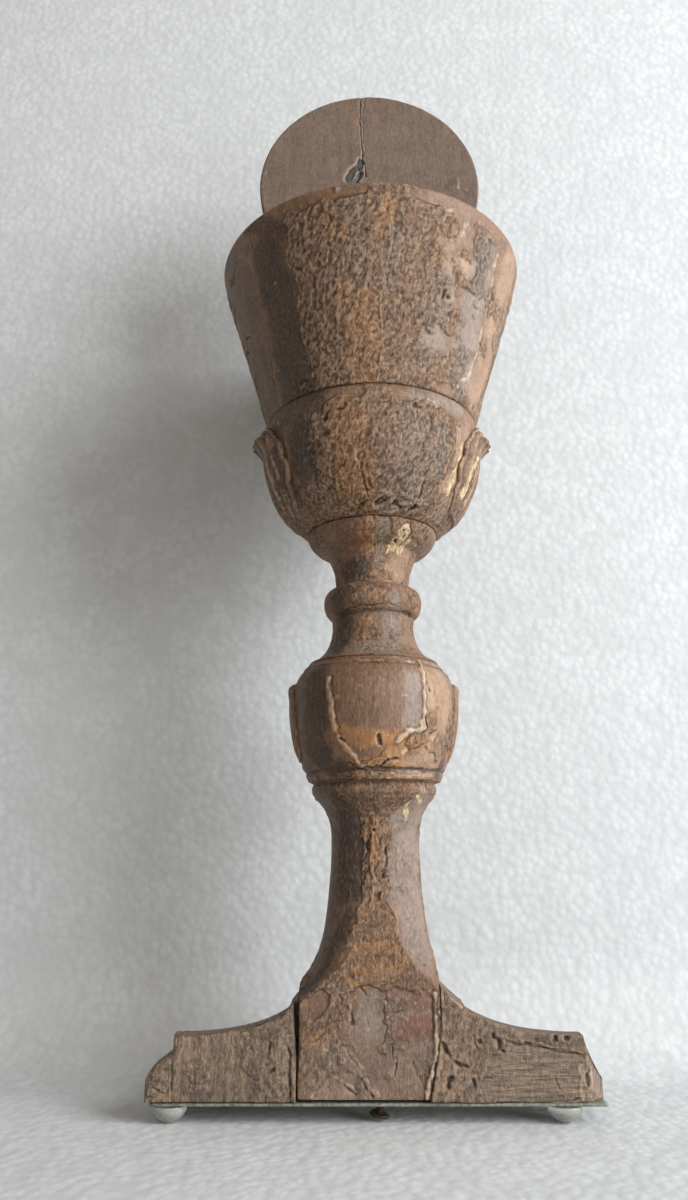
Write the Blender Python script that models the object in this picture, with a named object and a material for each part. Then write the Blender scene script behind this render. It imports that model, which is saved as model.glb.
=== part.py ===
"""Turned and carved wooden communion chalice with a host disc standing in its cup.

Metres, +Z up, the front of the foot towards -Y. The origin is on the table, under the chalice's axis.
Each wooden piece is built with its heights measured from the underside of the wood, and hangs from
an empty that stands at that height above the table. Turned outlines are (radius, height) pairs.
"""

import math

import bmesh
import bpy
from mathutils import Matrix, Vector

# ---- fits ----
GAP = 0.0003  # clearance between neighbouring pieces
LATHE_SEGMENTS = 32
PEG_SEGMENTS = 16
BUMPER_SEGMENTS = 20

# ---- what the chalice stands on ----
BUMPER_RADIUS = 0.00555
BUMPER_HEIGHT = 0.0051
BUMPER_FLAT_RADIUS = 0.0015  # the flat on which a bumper rests
BUMPER_PLACES = {
    "bumper_front_left": (-0.065, -0.010),
    "bumper_front_right": (0.058, -0.010),
    "bumper_rear_left": (-0.059, 0.0095),
    "bumper_rear_right": (0.058, 0.0095),
}
SOLE_THICKNESS = 0.0011
SOLE_HALF_LENGTH = 0.0708
SOLE_HALF_DEPTH = 0.0152
WOOD_BASE = BUMPER_HEIGHT + GAP + SOLE_THICKNESS + GAP  # underside of the wood above the table

# ---- foot ----
FOOT_HALF_DEPTH = 0.0156  # the foot is cut flat in front and behind
BLOCK_REACH = {"left": 0.0246, "right": 0.0192}  # the centre block's sides, off centre to the left
BLOCK_LIFT = 0.0008  # the centre block's hollow underside
FOOT_HALF_LENGTH = 0.072
FOOT_EDGE_HEIGHT = 0.0065  # where the upright edge turns into the ovolo
FILLET_REACH = 0.0639  # the upright step between the ovolo and the hollow
FILLET_BOTTOM = 0.014
FILLET_TOP = 0.0189
HOLLOW_END = (0.0192, 0.0335)  # where the wings' hollow would meet the centre block
WING_BOARD_DEPTH = 0.0060  # thickness of the moulded front board
FLARE_RADIUS = 0.0280  # round root of the wing behind the board
LEDGE_HEIGHT = 0.0090  # low rear part of the wing
LEDGE_REACH = 0.0655

# ---- dowels and nail ----
DOWEL_RADIUS = 0.0020
DOWEL_REACH = 0.0120  # how far a dowel goes into each side of its joint
DOWEL_HEIGHT = 0.0047
DOWEL_DEPTHS = {"front": -0.0040, "rear": 0.0090}
NAIL_PLACE = (0.0005, -0.0090)
NAIL_RADIUS = 0.0012
NAIL_DEPTH = 0.0200  # length of the shank inside the block
NAIL_HEAD_RADIUS = 0.0031
NAIL_HEAD_THICKNESS = 0.0009
NAIL_HEAD_HEIGHT = 0.0018  # middle of the head above the table
NAIL_HEAD_TILT = math.radians(11)

# ---- turned pieces ----
STEM_WAIST = 0.0151
STEM_TOP = 0.0968
STEM_FILLET_RADIUS = 0.0216
KNOP_RADIUS = 0.0292
KNOP_TOP = 0.1380
NECK_TOP = 0.1883
COLLAR_CENTRE = (0.0146, 0.1613)
COLLAR_SIZE = (0.0033, 0.0056)
CALYX_TOP = 0.2312
BAND_CENTRE = (0.0394, 0.2270)
BAND_SIZE = (0.0018, 0.0042)
RIM_RADIUS = 0.0594
RIM_HEIGHT = 0.2980
LIP_THICKNESS = 0.0026
BOWL_FLOOR = 0.2620
PEG_SOCKET_BOTTOM = 0.2420

# tenons: radius, and the height that each reaches
STEM_TENON = (0.0090, 0.1130)
NECK_LOWER_TENON = (0.0080, 0.1220)
NECK_UPPER_TENON = (0.0090, 0.2030)
CUP_TENON = (0.0120, 0.2130)

# ---- leaves ----
LEAF_ROWS = 10
LEAF_COLUMNS = 6
CALYX_LEAF_SPAN = (0.1930, 0.2300)  # foot and tip heights
CALYX_LEAF_HALF_WIDTH = 0.0175
CALYX_LEAF_THICKNESS = 0.0014
CALYX_LEAF_CURL = 0.0026
KNOP_LEAF_SPAN = (0.1050, 0.1305)
KNOP_LEAF_HALF_WIDTH = 0.0080
KNOP_LEAF_THICKNESS = 0.0007
SIDES = {"left": math.pi, "right": 0.0}

# ---- host ----
HOST_RADIUS = 0.0463
HOST_THICKNESS = 0.0060
HOST_EDGE_ROUNDING = 0.0008
HOST_CENTRE_HEIGHT = 0.3443
HOST_SEGMENTS = 56
PEG_RADIUS = 0.0045
SPIGOT_RADIUS = 0.0015
SPIGOT_LENGTH = 0.0083

# ---- colours: base colour, roughness, metallic ----
FINISHES = {
    "old_gilding": ((0.20, 0.105, 0.050), 0.62, 0.0),
    "grey_wood": ((0.17, 0.115, 0.080), 0.78, 0.0),
    "bare_wood": ((0.36, 0.23, 0.13), 0.75, 0.0),
    "sole_card": ((0.24, 0.26, 0.22), 0.80, 0.0),
    "clear_bumper": ((0.80, 0.84, 0.80), 0.15, 0.0),
    "old_iron": ((0.045, 0.030, 0.028), 0.70, 0.85),
}


# ---- outlines ----
def bezier(start, first, second, end, steps=6):
    """Points of a cubic curve, without its start."""
    found = []
    for step in range(1, steps + 1):
        t = step / steps
        weights = ((1 - t) ** 3, 3 * t * (1 - t) ** 2, 3 * t * t * (1 - t), t**3)
        ends = (start, first, second, end)
        found.append(tuple(sum(w * p[axis] for w, p in zip(weights, ends)) for axis in (0, 1)))
    return found


def bulge(centre, size, low, high, steps=6):
    """Points of an upright half ellipse, from the low angle to the high one, in degrees."""
    found = []
    for step in range(steps + 1):
        angle = math.radians(low + (high - low) * step / steps)
        found.append((centre[0] + size[0] * math.cos(angle), centre[1] + size[1] * math.sin(angle)))
    return found


def radius_at(outline, height):
    """Radius of a turned outline at a height, on its outer side."""
    found = 0.0
    for (r0, z0), (r1, z1) in zip(outline, outline[1:]):
        if min(z0, z1) <= height <= max(z0, z1) and z0 != z1:
            found = max(found, r0 + (r1 - r0) * (height - z0) / (z1 - z0))
    return found


def stem_outline():
    tenon_radius, tenon_top = STEM_TENON
    blank = (0.0300, 0.0280)
    shoulder = (0.0182, 0.0445)
    waist = (STEM_WAIST, 0.0740)
    rise = (STEM_WAIST, 0.0780)
    under_fillet = (0.0206, 0.0915)
    return [
        (0.0, BLOCK_LIFT),
        (blank[0], BLOCK_LIFT),
        blank,
        *bezier(blank, (0.0250, 0.0315), (0.0200, 0.0370), shoulder),
        *bezier(shoulder, (0.0166, 0.0520), (0.0152, 0.0620), waist, 5),
        rise,
        *bezier(rise, (0.0151, 0.0840), (0.0172, 0.0885), under_fillet, 5),
        (STEM_FILLET_RADIUS - 0.0003, 0.0921),
        (STEM_FILLET_RADIUS + 0.0002, 0.0940),
        (STEM_FILLET_RADIUS, STEM_TOP - 0.0005),
        (STEM_FILLET_RADIUS - 0.0005, STEM_TOP),
        (tenon_radius, STEM_TOP),
        (tenon_radius, tenon_top),
        (0.0, tenon_top),
    ]


def knop_outline():
    low_radius, low_top = STEM_TENON
    high_radius, high_bottom = NECK_LOWER_TENON
    bottom = (0.0229, STEM_TOP + GAP)
    widest = (KNOP_RADIUS, 0.1230)
    shoulder = (0.0243, KNOP_TOP - 0.0010)
    return [
        (0.0, low_top + GAP),
        (low_radius + GAP, low_top + GAP),
        (low_radius + GAP, bottom[1]),
        bottom,
        *bezier(bottom, (0.0255, 0.1025), (0.0290, 0.1120), widest),
        *bezier(widest, (0.0294, 0.1300), (0.0276, 0.1340), shoulder),
        (0.0241, KNOP_TOP),
        (high_radius + GAP, KNOP_TOP),
        (high_radius + GAP, high_bottom - GAP),
        (0.0, high_bottom - GAP),
    ]


def neck_outline():
    low_radius, low_bottom = NECK_LOWER_TENON
    high_radius, high_top = NECK_UPPER_TENON
    base = KNOP_TOP + GAP
    flange = (0.0232, base + 0.0009)
    throat = (0.0148, 0.1520)
    under_cushion = (0.0163, 0.1798)
    cushion_foot = (0.0170, 0.1804)
    return [
        (0.0, low_bottom),
        (low_radius, low_bottom),
        (low_radius, base),
        (0.0234, base),
        flange,
        *bezier(flange, (0.0186, 0.1406), (0.0152, 0.1455), throat, 5),
        (0.0150, 0.1550),
        *bulge(COLLAR_CENTRE, COLLAR_SIZE, -75, 75, 5),
        (0.0136, 0.1672),
        *bezier((0.0136, 0.1672), (0.0129, 0.1715), (0.0148, 0.1760), under_cushion, 4),
        cushion_foot,
        *bezier(cushion_foot, (0.0200, 0.1814), (0.0242, 0.1846), (0.0241, NECK_TOP), 4),
        (high_radius, NECK_TOP),
        (high_radius, high_top),
        (0.0, high_top),
    ]


def calyx_outline():
    low_radius, low_top = NECK_UPPER_TENON
    high_radius, high_bottom = CUP_TENON
    bottom = (0.0245, NECK_TOP + GAP)
    under_band = (0.0401, 0.2222)
    return [
        (0.0, low_top + GAP),
        (low_radius + GAP, low_top + GAP),
        (low_radius + GAP, bottom[1]),
        bottom,
        *bezier(bottom, (0.0330, 0.1940), (0.0396, 0.2060), under_band, 8),
        *bulge(BAND_CENTRE, BAND_SIZE, -60, 80, 5),
        (BAND_CENTRE[0], CALYX_TOP),
        (high_radius + GAP, CALYX_TOP),
        (high_radius + GAP, high_bottom - GAP),
        (0.0, high_bottom - GAP),
    ]


def cup_outline():
    tenon_radius, tenon_bottom = CUP_TENON
    base = CALYX_TOP + GAP
    foot = (0.0402, base + 0.0003)
    edge = (RIM_RADIUS, RIM_HEIGHT - 0.0015)
    inside = (RIM_RADIUS - LIP_THICKNESS, RIM_HEIGHT - 0.0010)
    floor = (0.0140, BOWL_FLOOR)
    return [
        (0.0, tenon_bottom),
        (tenon_radius, tenon_bottom),
        (tenon_radius, base),
        (foot[0] - 0.0003, base),
        foot,
        *bezier(foot, (0.0455, 0.2520), (0.0545, 0.2780), edge, 5),
        (RIM_RADIUS - 0.0007, RIM_HEIGHT),
        (RIM_RADIUS - LIP_THICKNESS + 0.0006, RIM_HEIGHT),
        inside,
        *bezier(inside, (0.0520, 0.2780), (0.0440, 0.2635), floor, 7),
        (PEG_RADIUS + GAP, BOWL_FLOOR),
        (PEG_RADIUS + GAP, PEG_SOCKET_BOTTOM),
        (0.0, PEG_SOCKET_BOTTOM),
    ]


def host_peg_outline():
    shoulder = HOST_CENTRE_HEIGHT - HOST_RADIUS - GAP
    return [
        (0.0, PEG_SOCKET_BOTTOM + GAP),
        (PEG_RADIUS, PEG_SOCKET_BOTTOM + GAP),
        (PEG_RADIUS, shoulder),
        (SPIGOT_RADIUS, shoulder),
        (SPIGOT_RADIUS, shoulder + SPIGOT_LENGTH),
        (0.0, shoulder + SPIGOT_LENGTH),
    ]


def bumper_outline():
    """A clear dome, its flat back up and a small flat at the bottom."""
    dome = bulge((0.0, BUMPER_HEIGHT), (BUMPER_RADIUS, BUMPER_HEIGHT), -72, 0, 5)
    return [(0.0, 0.0), (BUMPER_FLAT_RADIUS, 0.0), *dome, (0.0, BUMPER_HEIGHT)]


def wing_outline(start):
    """Front view of a wing that starts at a distance from the axis, as (distance, height), anticlockwise."""
    edge = (FOOT_HALF_LENGTH, FOOT_EDGE_HEIGHT)
    ovolo_end = (FILLET_REACH, FILLET_BOTTOM)
    fillet_top = (FILLET_REACH - 0.0002, FILLET_TOP)
    hollow = [fillet_top, *bezier(fillet_top, (0.0380, 0.0190), (0.0270, 0.0250), HOLLOW_END, 9)]
    shoulder = [
        (start, z0 + (z1 - z0) * (x0 - start) / (x0 - x1))
        for (x0, z0), (x1, z1) in zip(hollow, hollow[1:])
        if x1 <= start < x0
    ]
    return [
        (start, 0.0),
        (FOOT_HALF_LENGTH, 0.0),
        edge,
        *bezier(edge, (0.0713, 0.0093), (0.0675, 0.0122), ovolo_end),
        *[point for point in hollow if point[0] > start + GAP],
        *shoulder,
    ]


# ---- mesh helpers ----
def clear_scene():
    for obj in list(bpy.data.objects):
        bpy.data.objects.remove(obj, do_unlink=True)


def material(name):
    found = bpy.data.materials.get(name)
    if found:
        return found
    colour, roughness, metallic = FINISHES[name]
    made = bpy.data.materials.new(name)
    made.use_nodes = True
    shader = made.node_tree.nodes["Principled BSDF"]
    shader.inputs["Base Color"].default_value = (*colour, 1.0)
    shader.inputs["Roughness"].default_value = roughness
    shader.inputs["Metallic"].default_value = metallic
    made.diffuse_color = (*colour, 1.0)
    return made


def object_from(name, shape, finish, parent):
    """One object from a bmesh whose faces are turned outwards."""
    bmesh.ops.recalc_face_normals(shape, faces=shape.faces)
    mesh = bpy.data.meshes.new(name)
    shape.to_mesh(mesh)
    shape.free()
    mesh.shade_smooth()
    mesh.set_sharp_from_angle(angle=math.radians(35))
    obj = bpy.data.objects.new(name, mesh)
    bpy.context.scene.collection.objects.link(obj)
    obj.data.materials.append(material(finish))
    obj.parent = parent
    return obj


def helper(name, shape, parent):
    """A cutter, left out of the render."""
    obj = object_from(name, shape, "bare_wood", parent)
    obj.hide_render = True
    obj.display_type = "WIRE"
    return obj


def combine(obj, other, operation):
    change = obj.modifiers.new(f"{operation.lower()}_{other.name}", "BOOLEAN")
    change.operation = operation
    change.solver = "EXACT"
    change.object = other


def lathe(outline, segments=LATHE_SEGMENTS):
    """A turned solid whose outline starts and ends on the axis."""
    shape = bmesh.new()
    rings = []
    for radius, height in outline:
        if radius == 0.0:
            rings.append([shape.verts.new((0.0, 0.0, height))])
            continue
        angles = (2 * math.pi * step / segments for step in range(segments))
        rings.append([shape.verts.new((radius * math.cos(a), radius * math.sin(a), height)) for a in angles])
    for lower, upper in zip(rings, rings[1:]):
        for step in range(segments):
            following = (step + 1) % segments
            if len(lower) == 1:
                corners = (lower[0], upper[step], upper[following])
            elif len(upper) == 1:
                corners = (lower[step], upper[0], lower[following])
            else:
                corners = (lower[step], upper[step], upper[following], lower[following])
            shape.faces.new(corners)
    return shape


def rod(radius, low, high, segments=PEG_SEGMENTS):
    """An upright cylinder between two heights."""
    return lathe([(0.0, low), (radius, low), (radius, high), (0.0, high)], segments)


def box(low, high):
    shape = bmesh.new()
    bmesh.ops.create_cube(shape, size=1.0)
    size = [b - a for a, b in zip(low, high)]
    middle = [(a + b) / 2 for a, b in zip(low, high)]
    bmesh.ops.scale(shape, vec=size, verts=shape.verts)
    bmesh.ops.translate(shape, vec=middle, verts=shape.verts)
    return shape


def slab(outline, front, back):
    """An (x, height) outline pushed from the front to the back."""
    shape = bmesh.new()
    face = shape.faces.new([shape.verts.new((x, front, z)) for x, z in outline])
    pushed = bmesh.ops.extrude_face_region(shape, geom=[face])
    moved = [item for item in pushed["geom"] if isinstance(item, bmesh.types.BMVert)]
    bmesh.ops.translate(shape, vec=(0.0, back - front, 0.0), verts=moved)
    bmesh.ops.triangulate(shape, faces=[f for f in shape.faces if len(f.verts) > 4])
    return shape


def turn_to_x(shape, place):
    """Lays an upright shape along X at a place."""
    matrix = Matrix.Translation(place) @ Matrix.Rotation(math.pi / 2, 4, "Y")
    bmesh.ops.transform(shape, matrix=matrix, verts=shape.verts)
    return shape


def mirrored(shape):
    bmesh.ops.scale(shape, vec=(-1.0, 1.0, 1.0), verts=shape.verts)
    return shape


def leaf(outline, span, half_width, thickness, curl, middle):
    """A leaf that lies on a turned outline: rounded foot, pointed tip that curls away from the bowl."""
    shape = bmesh.new()
    skins = []
    for layer in (0, 1):
        rows = []
        for row in range(LEAF_ROWS + 1):
            u = row / LEAF_ROWS
            height = span[0] + (span[1] - span[0]) * u
            surface = radius_at(outline, height) + GAP + curl * u**6
            width = half_width * (0.12 + 0.88 * math.sin(math.pi * (0.06 + 0.90 * u)) ** 0.8)
            line = []
            for column in range(LEAF_COLUMNS + 1):
                v = 2 * column / LEAF_COLUMNS - 1
                crown = thickness * (0.35 + 0.65 * math.cos(0.5 * math.pi * v))
                radius = surface + layer * crown
                angle = middle + v * width / surface
                line.append(shape.verts.new((radius * math.cos(angle), radius * math.sin(angle), height)))
            rows.append(line)
        for lower, upper in zip(rows, rows[1:]):
            for column in range(LEAF_COLUMNS):
                shape.faces.new((lower[column], lower[column + 1], upper[column + 1], upper[column]))
        skins.append(rows)
    rims = []
    for rows in skins:
        around = list(rows[0])
        around += [line[-1] for line in rows[1:]]
        around += list(reversed(rows[-1][:-1]))
        around += [line[0] for line in reversed(rows[1:-1])]
        rims.append(around)
    inner, outer = rims
    for step in range(len(inner)):
        following = (step + 1) % len(inner)
        shape.faces.new((inner[step], inner[following], outer[following], outer[step]))
    return shape


# ---- the foot ----
def make_sole(table):
    low = BUMPER_HEIGHT + GAP
    shape = box((-SOLE_HALF_LENGTH, -SOLE_HALF_DEPTH, low), (SOLE_HALF_LENGTH, SOLE_HALF_DEPTH, low + SOLE_THICKNESS))
    sole = object_from("sole_plate", shape, "sole_card", table)
    combine(sole, nail_hole("sole_nail_hole", low - 0.002, low + 0.004, table), "DIFFERENCE")


def nail_hole(name, low, high, parent):
    shape = rod(NAIL_RADIUS + GAP, low, high)
    bmesh.ops.translate(shape, vec=(*NAIL_PLACE, 0.0), verts=shape.verts)
    return helper(name, shape, parent)


def make_bumpers(table):
    for name, (x, y) in BUMPER_PLACES.items():
        bumper = object_from(name, lathe(bumper_outline(), BUMPER_SEGMENTS), "clear_bumper", table)
        bumper.location = (x, y, 0.0)


def make_nail(table):
    """A forged nail driven up through the sole, its flat head knocked askew."""
    head = rod(NAIL_HEAD_RADIUS, -NAIL_HEAD_THICKNESS / 2, NAIL_HEAD_THICKNESS / 2)
    tilt = Matrix.Translation((0.0, 0.0, NAIL_HEAD_HEIGHT)) @ Matrix.Rotation(NAIL_HEAD_TILT, 4, "Y")
    bmesh.ops.transform(head, matrix=tilt, verts=head.verts)
    top = WOOD_BASE + BLOCK_LIFT + NAIL_DEPTH
    nail = object_from("sole_nail", rod(NAIL_RADIUS, NAIL_HEAD_HEIGHT, top), "old_iron", table)
    nail.location = (*NAIL_PLACE, 0.0)
    combine(nail, helper("nail_head_form", head, nail), "UNION")


def make_stem(wood):
    """The stem and the foot's centre block, turned and cut from one blank."""
    stem = object_from("stem", lathe(stem_outline()), "old_gilding", wood)
    low = (-BLOCK_REACH["left"], -FOOT_HALF_DEPTH, -0.01)
    keep = box(low, (BLOCK_REACH["right"], FOOT_HALF_DEPTH, 0.0800))
    crown = rod(0.04, 0.0799, 0.2, 32)
    keep_object = helper("stem_keep", keep, wood)
    combine(keep_object, helper("stem_crown_keep", crown, wood), "UNION")
    combine(stem, keep_object, "INTERSECT")
    reach = BLOCK_LIFT + NAIL_DEPTH + GAP
    combine(stem, nail_hole("stem_nail_hole", -0.01, reach, wood), "DIFFERENCE")
    for side in SIDES:
        for row, depth in DOWEL_DEPTHS.items():
            shape = dowel_shape(DOWEL_RADIUS + GAP, DOWEL_REACH + 2 * GAP, side, depth)
            combine(stem, helper(f"stem_hole_{side}_{row}", shape, wood), "DIFFERENCE")


def dowel_shape(radius, reach, side, depth):
    """A rod across the joint between the block and a wing."""
    joint = BLOCK_REACH[side] + GAP / 2
    if side == "left":
        joint = -joint
    return turn_to_x(rod(radius, -reach, reach), Vector((joint, depth, DOWEL_HEIGHT)))


def wing_shape(side, parent):
    """The moulded front board, the round root behind it and the low rear ledge, as one solid."""
    start = BLOCK_REACH[side] + GAP
    outline = wing_outline(start)
    back_of_board = -FOOT_HALF_DEPTH + WING_BOARD_DEPTH
    board = slab(outline, -FOOT_HALF_DEPTH, back_of_board)
    root = slab(outline, -FOOT_HALF_DEPTH + 0.001, FOOT_HALF_DEPTH)
    ledge = box((start, -FOOT_HALF_DEPTH + 0.001, 0.0), (LEDGE_REACH, FOOT_HALF_DEPTH, LEDGE_HEIGHT))
    cylinder = rod(FLARE_RADIUS, -0.01, 0.06, LATHE_SEGMENTS)
    shapes = [board, root, ledge, cylinder]
    if side == "left":
        shapes = [mirrored(shape) for shape in shapes]
    board, root, ledge, cylinder = shapes
    root_form = helper(f"wing_root_{side}", root, parent)
    combine(root_form, helper(f"wing_flare_{side}", cylinder, parent), "INTERSECT")
    wing = object_from(f"foot_wing_{side}", board, "grey_wood", parent)
    combine(wing, root_form, "UNION")
    combine(wing, helper(f"wing_ledge_{side}", ledge, parent), "UNION")
    return wing


def make_wings(wood):
    for side in SIDES:
        wing = wing_shape(side, wood)
        for row, depth in DOWEL_DEPTHS.items():
            hole = dowel_shape(DOWEL_RADIUS + GAP, DOWEL_REACH + 2 * GAP, side, depth)
            combine(wing, helper(f"wing_hole_{side}_{row}", hole, wood), "DIFFERENCE")
            dowel = dowel_shape(DOWEL_RADIUS, DOWEL_REACH, side, depth)
            object_from(f"dowel_{side}_{row}", dowel, "bare_wood", wood)


# ---- the turned pieces ----
def make_turned(wood):
    object_from("knop", lathe(knop_outline()), "old_gilding", wood)
    object_from("neck", lathe(neck_outline()), "old_gilding", wood)
    object_from("calyx", lathe(calyx_outline()), "old_gilding", wood)
    object_from("cup", lathe(cup_outline()), "old_gilding", wood)


def make_leaves(wood):
    for side, middle in SIDES.items():
        shape = leaf(
            calyx_outline(),
            CALYX_LEAF_SPAN,
            CALYX_LEAF_HALF_WIDTH,
            CALYX_LEAF_THICKNESS,
            CALYX_LEAF_CURL,
            middle,
        )
        object_from(f"calyx_leaf_{side}", shape, "old_gilding", wood)
        shape = leaf(knop_outline(), KNOP_LEAF_SPAN, KNOP_LEAF_HALF_WIDTH, KNOP_LEAF_THICKNESS, 0.0, middle)
        object_from(f"knop_leaf_{side}", shape, "old_gilding", wood)


def make_host(host):
    """The disc stands on its edge, on a peg that drops into the floor of the cup."""
    turn = Matrix.Translation((0.0, 0.0, HOST_CENTRE_HEIGHT)) @ Matrix.Rotation(math.pi / 2, 4, "X")
    half = HOST_THICKNESS / 2
    flat_radius = HOST_RADIUS - HOST_EDGE_ROUNDING
    outline = [
        (0.0, -half),
        (flat_radius, -half),
        (HOST_RADIUS, -half + HOST_EDGE_ROUNDING),
        (HOST_RADIUS, half - HOST_EDGE_ROUNDING),
        (flat_radius, half),
        (0.0, half),
    ]
    shape = lathe(outline, HOST_SEGMENTS)
    bmesh.ops.transform(shape, matrix=turn, verts=shape.verts)
    disc = object_from("host_disc", shape, "grey_wood", host)
    bottom = HOST_CENTRE_HEIGHT - HOST_RADIUS
    bore = rod(SPIGOT_RADIUS + GAP, bottom - 0.003, bottom + SPIGOT_LENGTH)
    combine(disc, helper("host_bore", bore, host), "DIFFERENCE")
    object_from("host_peg", lathe(host_peg_outline(), 24), "bare_wood", host)


def empty(name, height):
    made = bpy.data.objects.new(name, None)
    made.location = (0.0, 0.0, height)
    bpy.context.scene.collection.objects.link(made)
    return made


def main():
    clear_scene()
    table = empty("table", 0.0)
    wood = empty("wood", WOOD_BASE)
    host = empty("host_joint", WOOD_BASE)
    make_sole(table)
    make_bumpers(table)
    make_nail(table)
    make_stem(wood)
    make_wings(wood)
    make_turned(wood)
    make_leaves(wood)
    make_host(host)


main()
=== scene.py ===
"""Looks of the communion chalice: turned, carved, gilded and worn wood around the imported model.

Outlines, reliefs and marks are in millimetres. Heights count from the underside of the wood. On turned
pieces a mark's place is (azimuth in degrees from the front towards the right, height), and on flat pieces
it is (x, height).
"""

import math

import bpy
import numpy as np
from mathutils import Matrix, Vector


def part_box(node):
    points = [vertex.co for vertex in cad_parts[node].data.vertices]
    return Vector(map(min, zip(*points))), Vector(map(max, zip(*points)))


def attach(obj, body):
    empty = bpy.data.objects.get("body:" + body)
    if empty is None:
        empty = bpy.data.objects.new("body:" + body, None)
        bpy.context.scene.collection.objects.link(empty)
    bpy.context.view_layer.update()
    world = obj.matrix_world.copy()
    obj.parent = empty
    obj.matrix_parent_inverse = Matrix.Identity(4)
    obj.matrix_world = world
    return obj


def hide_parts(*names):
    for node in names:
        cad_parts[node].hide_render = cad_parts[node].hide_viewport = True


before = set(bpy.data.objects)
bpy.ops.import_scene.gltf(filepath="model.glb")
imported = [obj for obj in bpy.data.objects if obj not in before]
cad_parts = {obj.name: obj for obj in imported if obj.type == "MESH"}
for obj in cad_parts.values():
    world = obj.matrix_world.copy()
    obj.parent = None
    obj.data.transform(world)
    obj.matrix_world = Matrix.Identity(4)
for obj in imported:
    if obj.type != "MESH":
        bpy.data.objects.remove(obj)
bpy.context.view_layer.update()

MM = 0.001
WOOD_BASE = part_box("foot_wing_left")[0].z / MM  # underside of the wood above the table
SIDES = {"left": -1, "right": 1}

# ---- driving sizes, as in the CAD model ----
FOOT_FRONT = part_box("foot_wing_left")[0].y / MM
FOOT_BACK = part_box("foot_wing_left")[1].y / MM
BLOCK_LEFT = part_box("foot_wing_left")[1].x / MM
BLOCK_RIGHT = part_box("foot_wing_right")[0].x / MM
FOOT_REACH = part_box("foot_wing_right")[1].x / MM
BLOCK_TOP = 80.0  # above this height the stem is round all the way
KNOP_TOP = 138.0
NECK_TOP = 188.3
CALYX_TOP = 231.2
CUP_BASE = 231.5
RIM_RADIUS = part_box("cup")[1].x / MM
HOST_RADIUS = (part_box("host_disc")[1].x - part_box("host_disc")[0].x) / 2 / MM
HOST_CENTRE = (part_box("host_disc")[1].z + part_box("host_disc")[0].z) / 2 / MM - WOOD_BASE
HOST_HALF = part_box("host_disc")[1].y / MM
FRONT_SPAN = 104.0  # degrees to each side of the front that carry the finest mesh
OFF_FACE = 500.0  # across of the points that no mark may reach


# ---- noise ----
def hashed(cells, seed):
    """A number from 0 to 1 for each whole-number cell."""
    x, y, z = (cells[..., axis] for axis in range(3))
    mixed = (x * 374761393 + y * 668265263 + z * 1440662683 + seed * 974634777) & 0xFFFFFFFF
    mixed = ((mixed ^ (mixed >> 13)) * 1274126177) & 0xFFFFFFFF
    return (mixed ^ (mixed >> 16)) / 4294967295.0


def noise(points, size, seed):
    """Smooth noise from -1 to 1 with features of a size, which may differ along x, y and z."""
    place = points / np.asarray(size, float) + 0.37 * seed
    base = np.floor(place).astype(np.int64)
    part = place - base
    part = part * part * (3 - 2 * part)
    total = np.zeros(points.shape[:-1])
    for corner in np.ndindex(2, 2, 2):
        weight = np.prod(np.where(np.array(corner), part, 1 - part), axis=-1)
        total += weight * hashed(base + np.array(corner), seed)
    return 2 * total - 1


def layered(points, size, seed, layers=4):
    """Several noises on top of each other, each half the size and strength of the last."""
    total = np.zeros(points.shape[:-1])
    for layer in range(layers):
        total += noise(points, np.asarray(size, float) / 2**layer, seed + 31 * layer) / 2**layer
    return total / 1.5


def smooth_step(value, low, high):
    part = np.clip((value - low) / (high - low), 0, 1)
    return part * part * (3 - 2 * part)


# ---- outlines ----
def curve(start, first, second, end, spacing):
    """Points of a cubic curve about that far apart, with both ends."""
    ends = np.array([start, first, second, end], float)
    length = np.linalg.norm(np.diff(ends, axis=0), axis=1).sum()
    t = np.linspace(0, 1, max(2, int(length / spacing) + 1))[:, None]
    weights = (1 - t) ** 3, 3 * t * (1 - t) ** 2, 3 * t * t * (1 - t), t**3
    return sum(weight * point for weight, point in zip(weights, ends))


def bulge(centre, size, low, high, spacing):
    """Points of an upright half ellipse between two angles in degrees."""
    count = int(max(size) * math.radians(high - low) / spacing) + 2
    angle = np.radians(np.linspace(low, high, count))
    return np.stack([centre[0] + size[0] * np.cos(angle), centre[1] + size[1] * np.sin(angle)], 1)


def line(*points, spacing):
    """Points along straight stretches, each corner kept."""
    found = [np.array(points[:1], float)]
    for start, end in zip(points, points[1:]):
        count = max(1, int(math.dist(start, end) / spacing))
        part = np.linspace(0, 1, count + 1)[1:, None]
        found.append(np.array(start) * (1 - part) + np.array(end) * part)
    return np.vstack(found)


def outline_of(*stretches):
    """(points, how much relief each carries) from stretches of (points, relief), doubled points left out."""
    points = np.vstack([stretch for stretch, _ in stretches])
    relief = np.concatenate([np.full(len(stretch), amount, float) for stretch, amount in stretches])
    keep = np.concatenate([[True], np.linalg.norm(np.diff(points, axis=0), axis=1) > 0.02])
    return points[keep], relief[keep]


# ---- surfaces ----
class Surface:
    """A loft in millimetres: rows of points, with the coordinates in which its marks are placed."""

    def __init__(self, points, normals, across, up, scale, relief):
        self.points = points
        self.normals = normals
        self.across = across
        self.up = up
        self.scale = scale  # millimetres for one unit of across
        self.relief = relief
        self.groove = None
        self.masks = {}


def azimuths(front, rear):
    """Angles round a turned piece, closer together in front than behind."""
    near = np.linspace(-FRONT_SPAN, FRONT_SPAN, front, endpoint=False)
    far = np.linspace(FRONT_SPAN, 360 - FRONT_SPAN, rear, endpoint=False)
    return np.concatenate([near, far])


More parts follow.
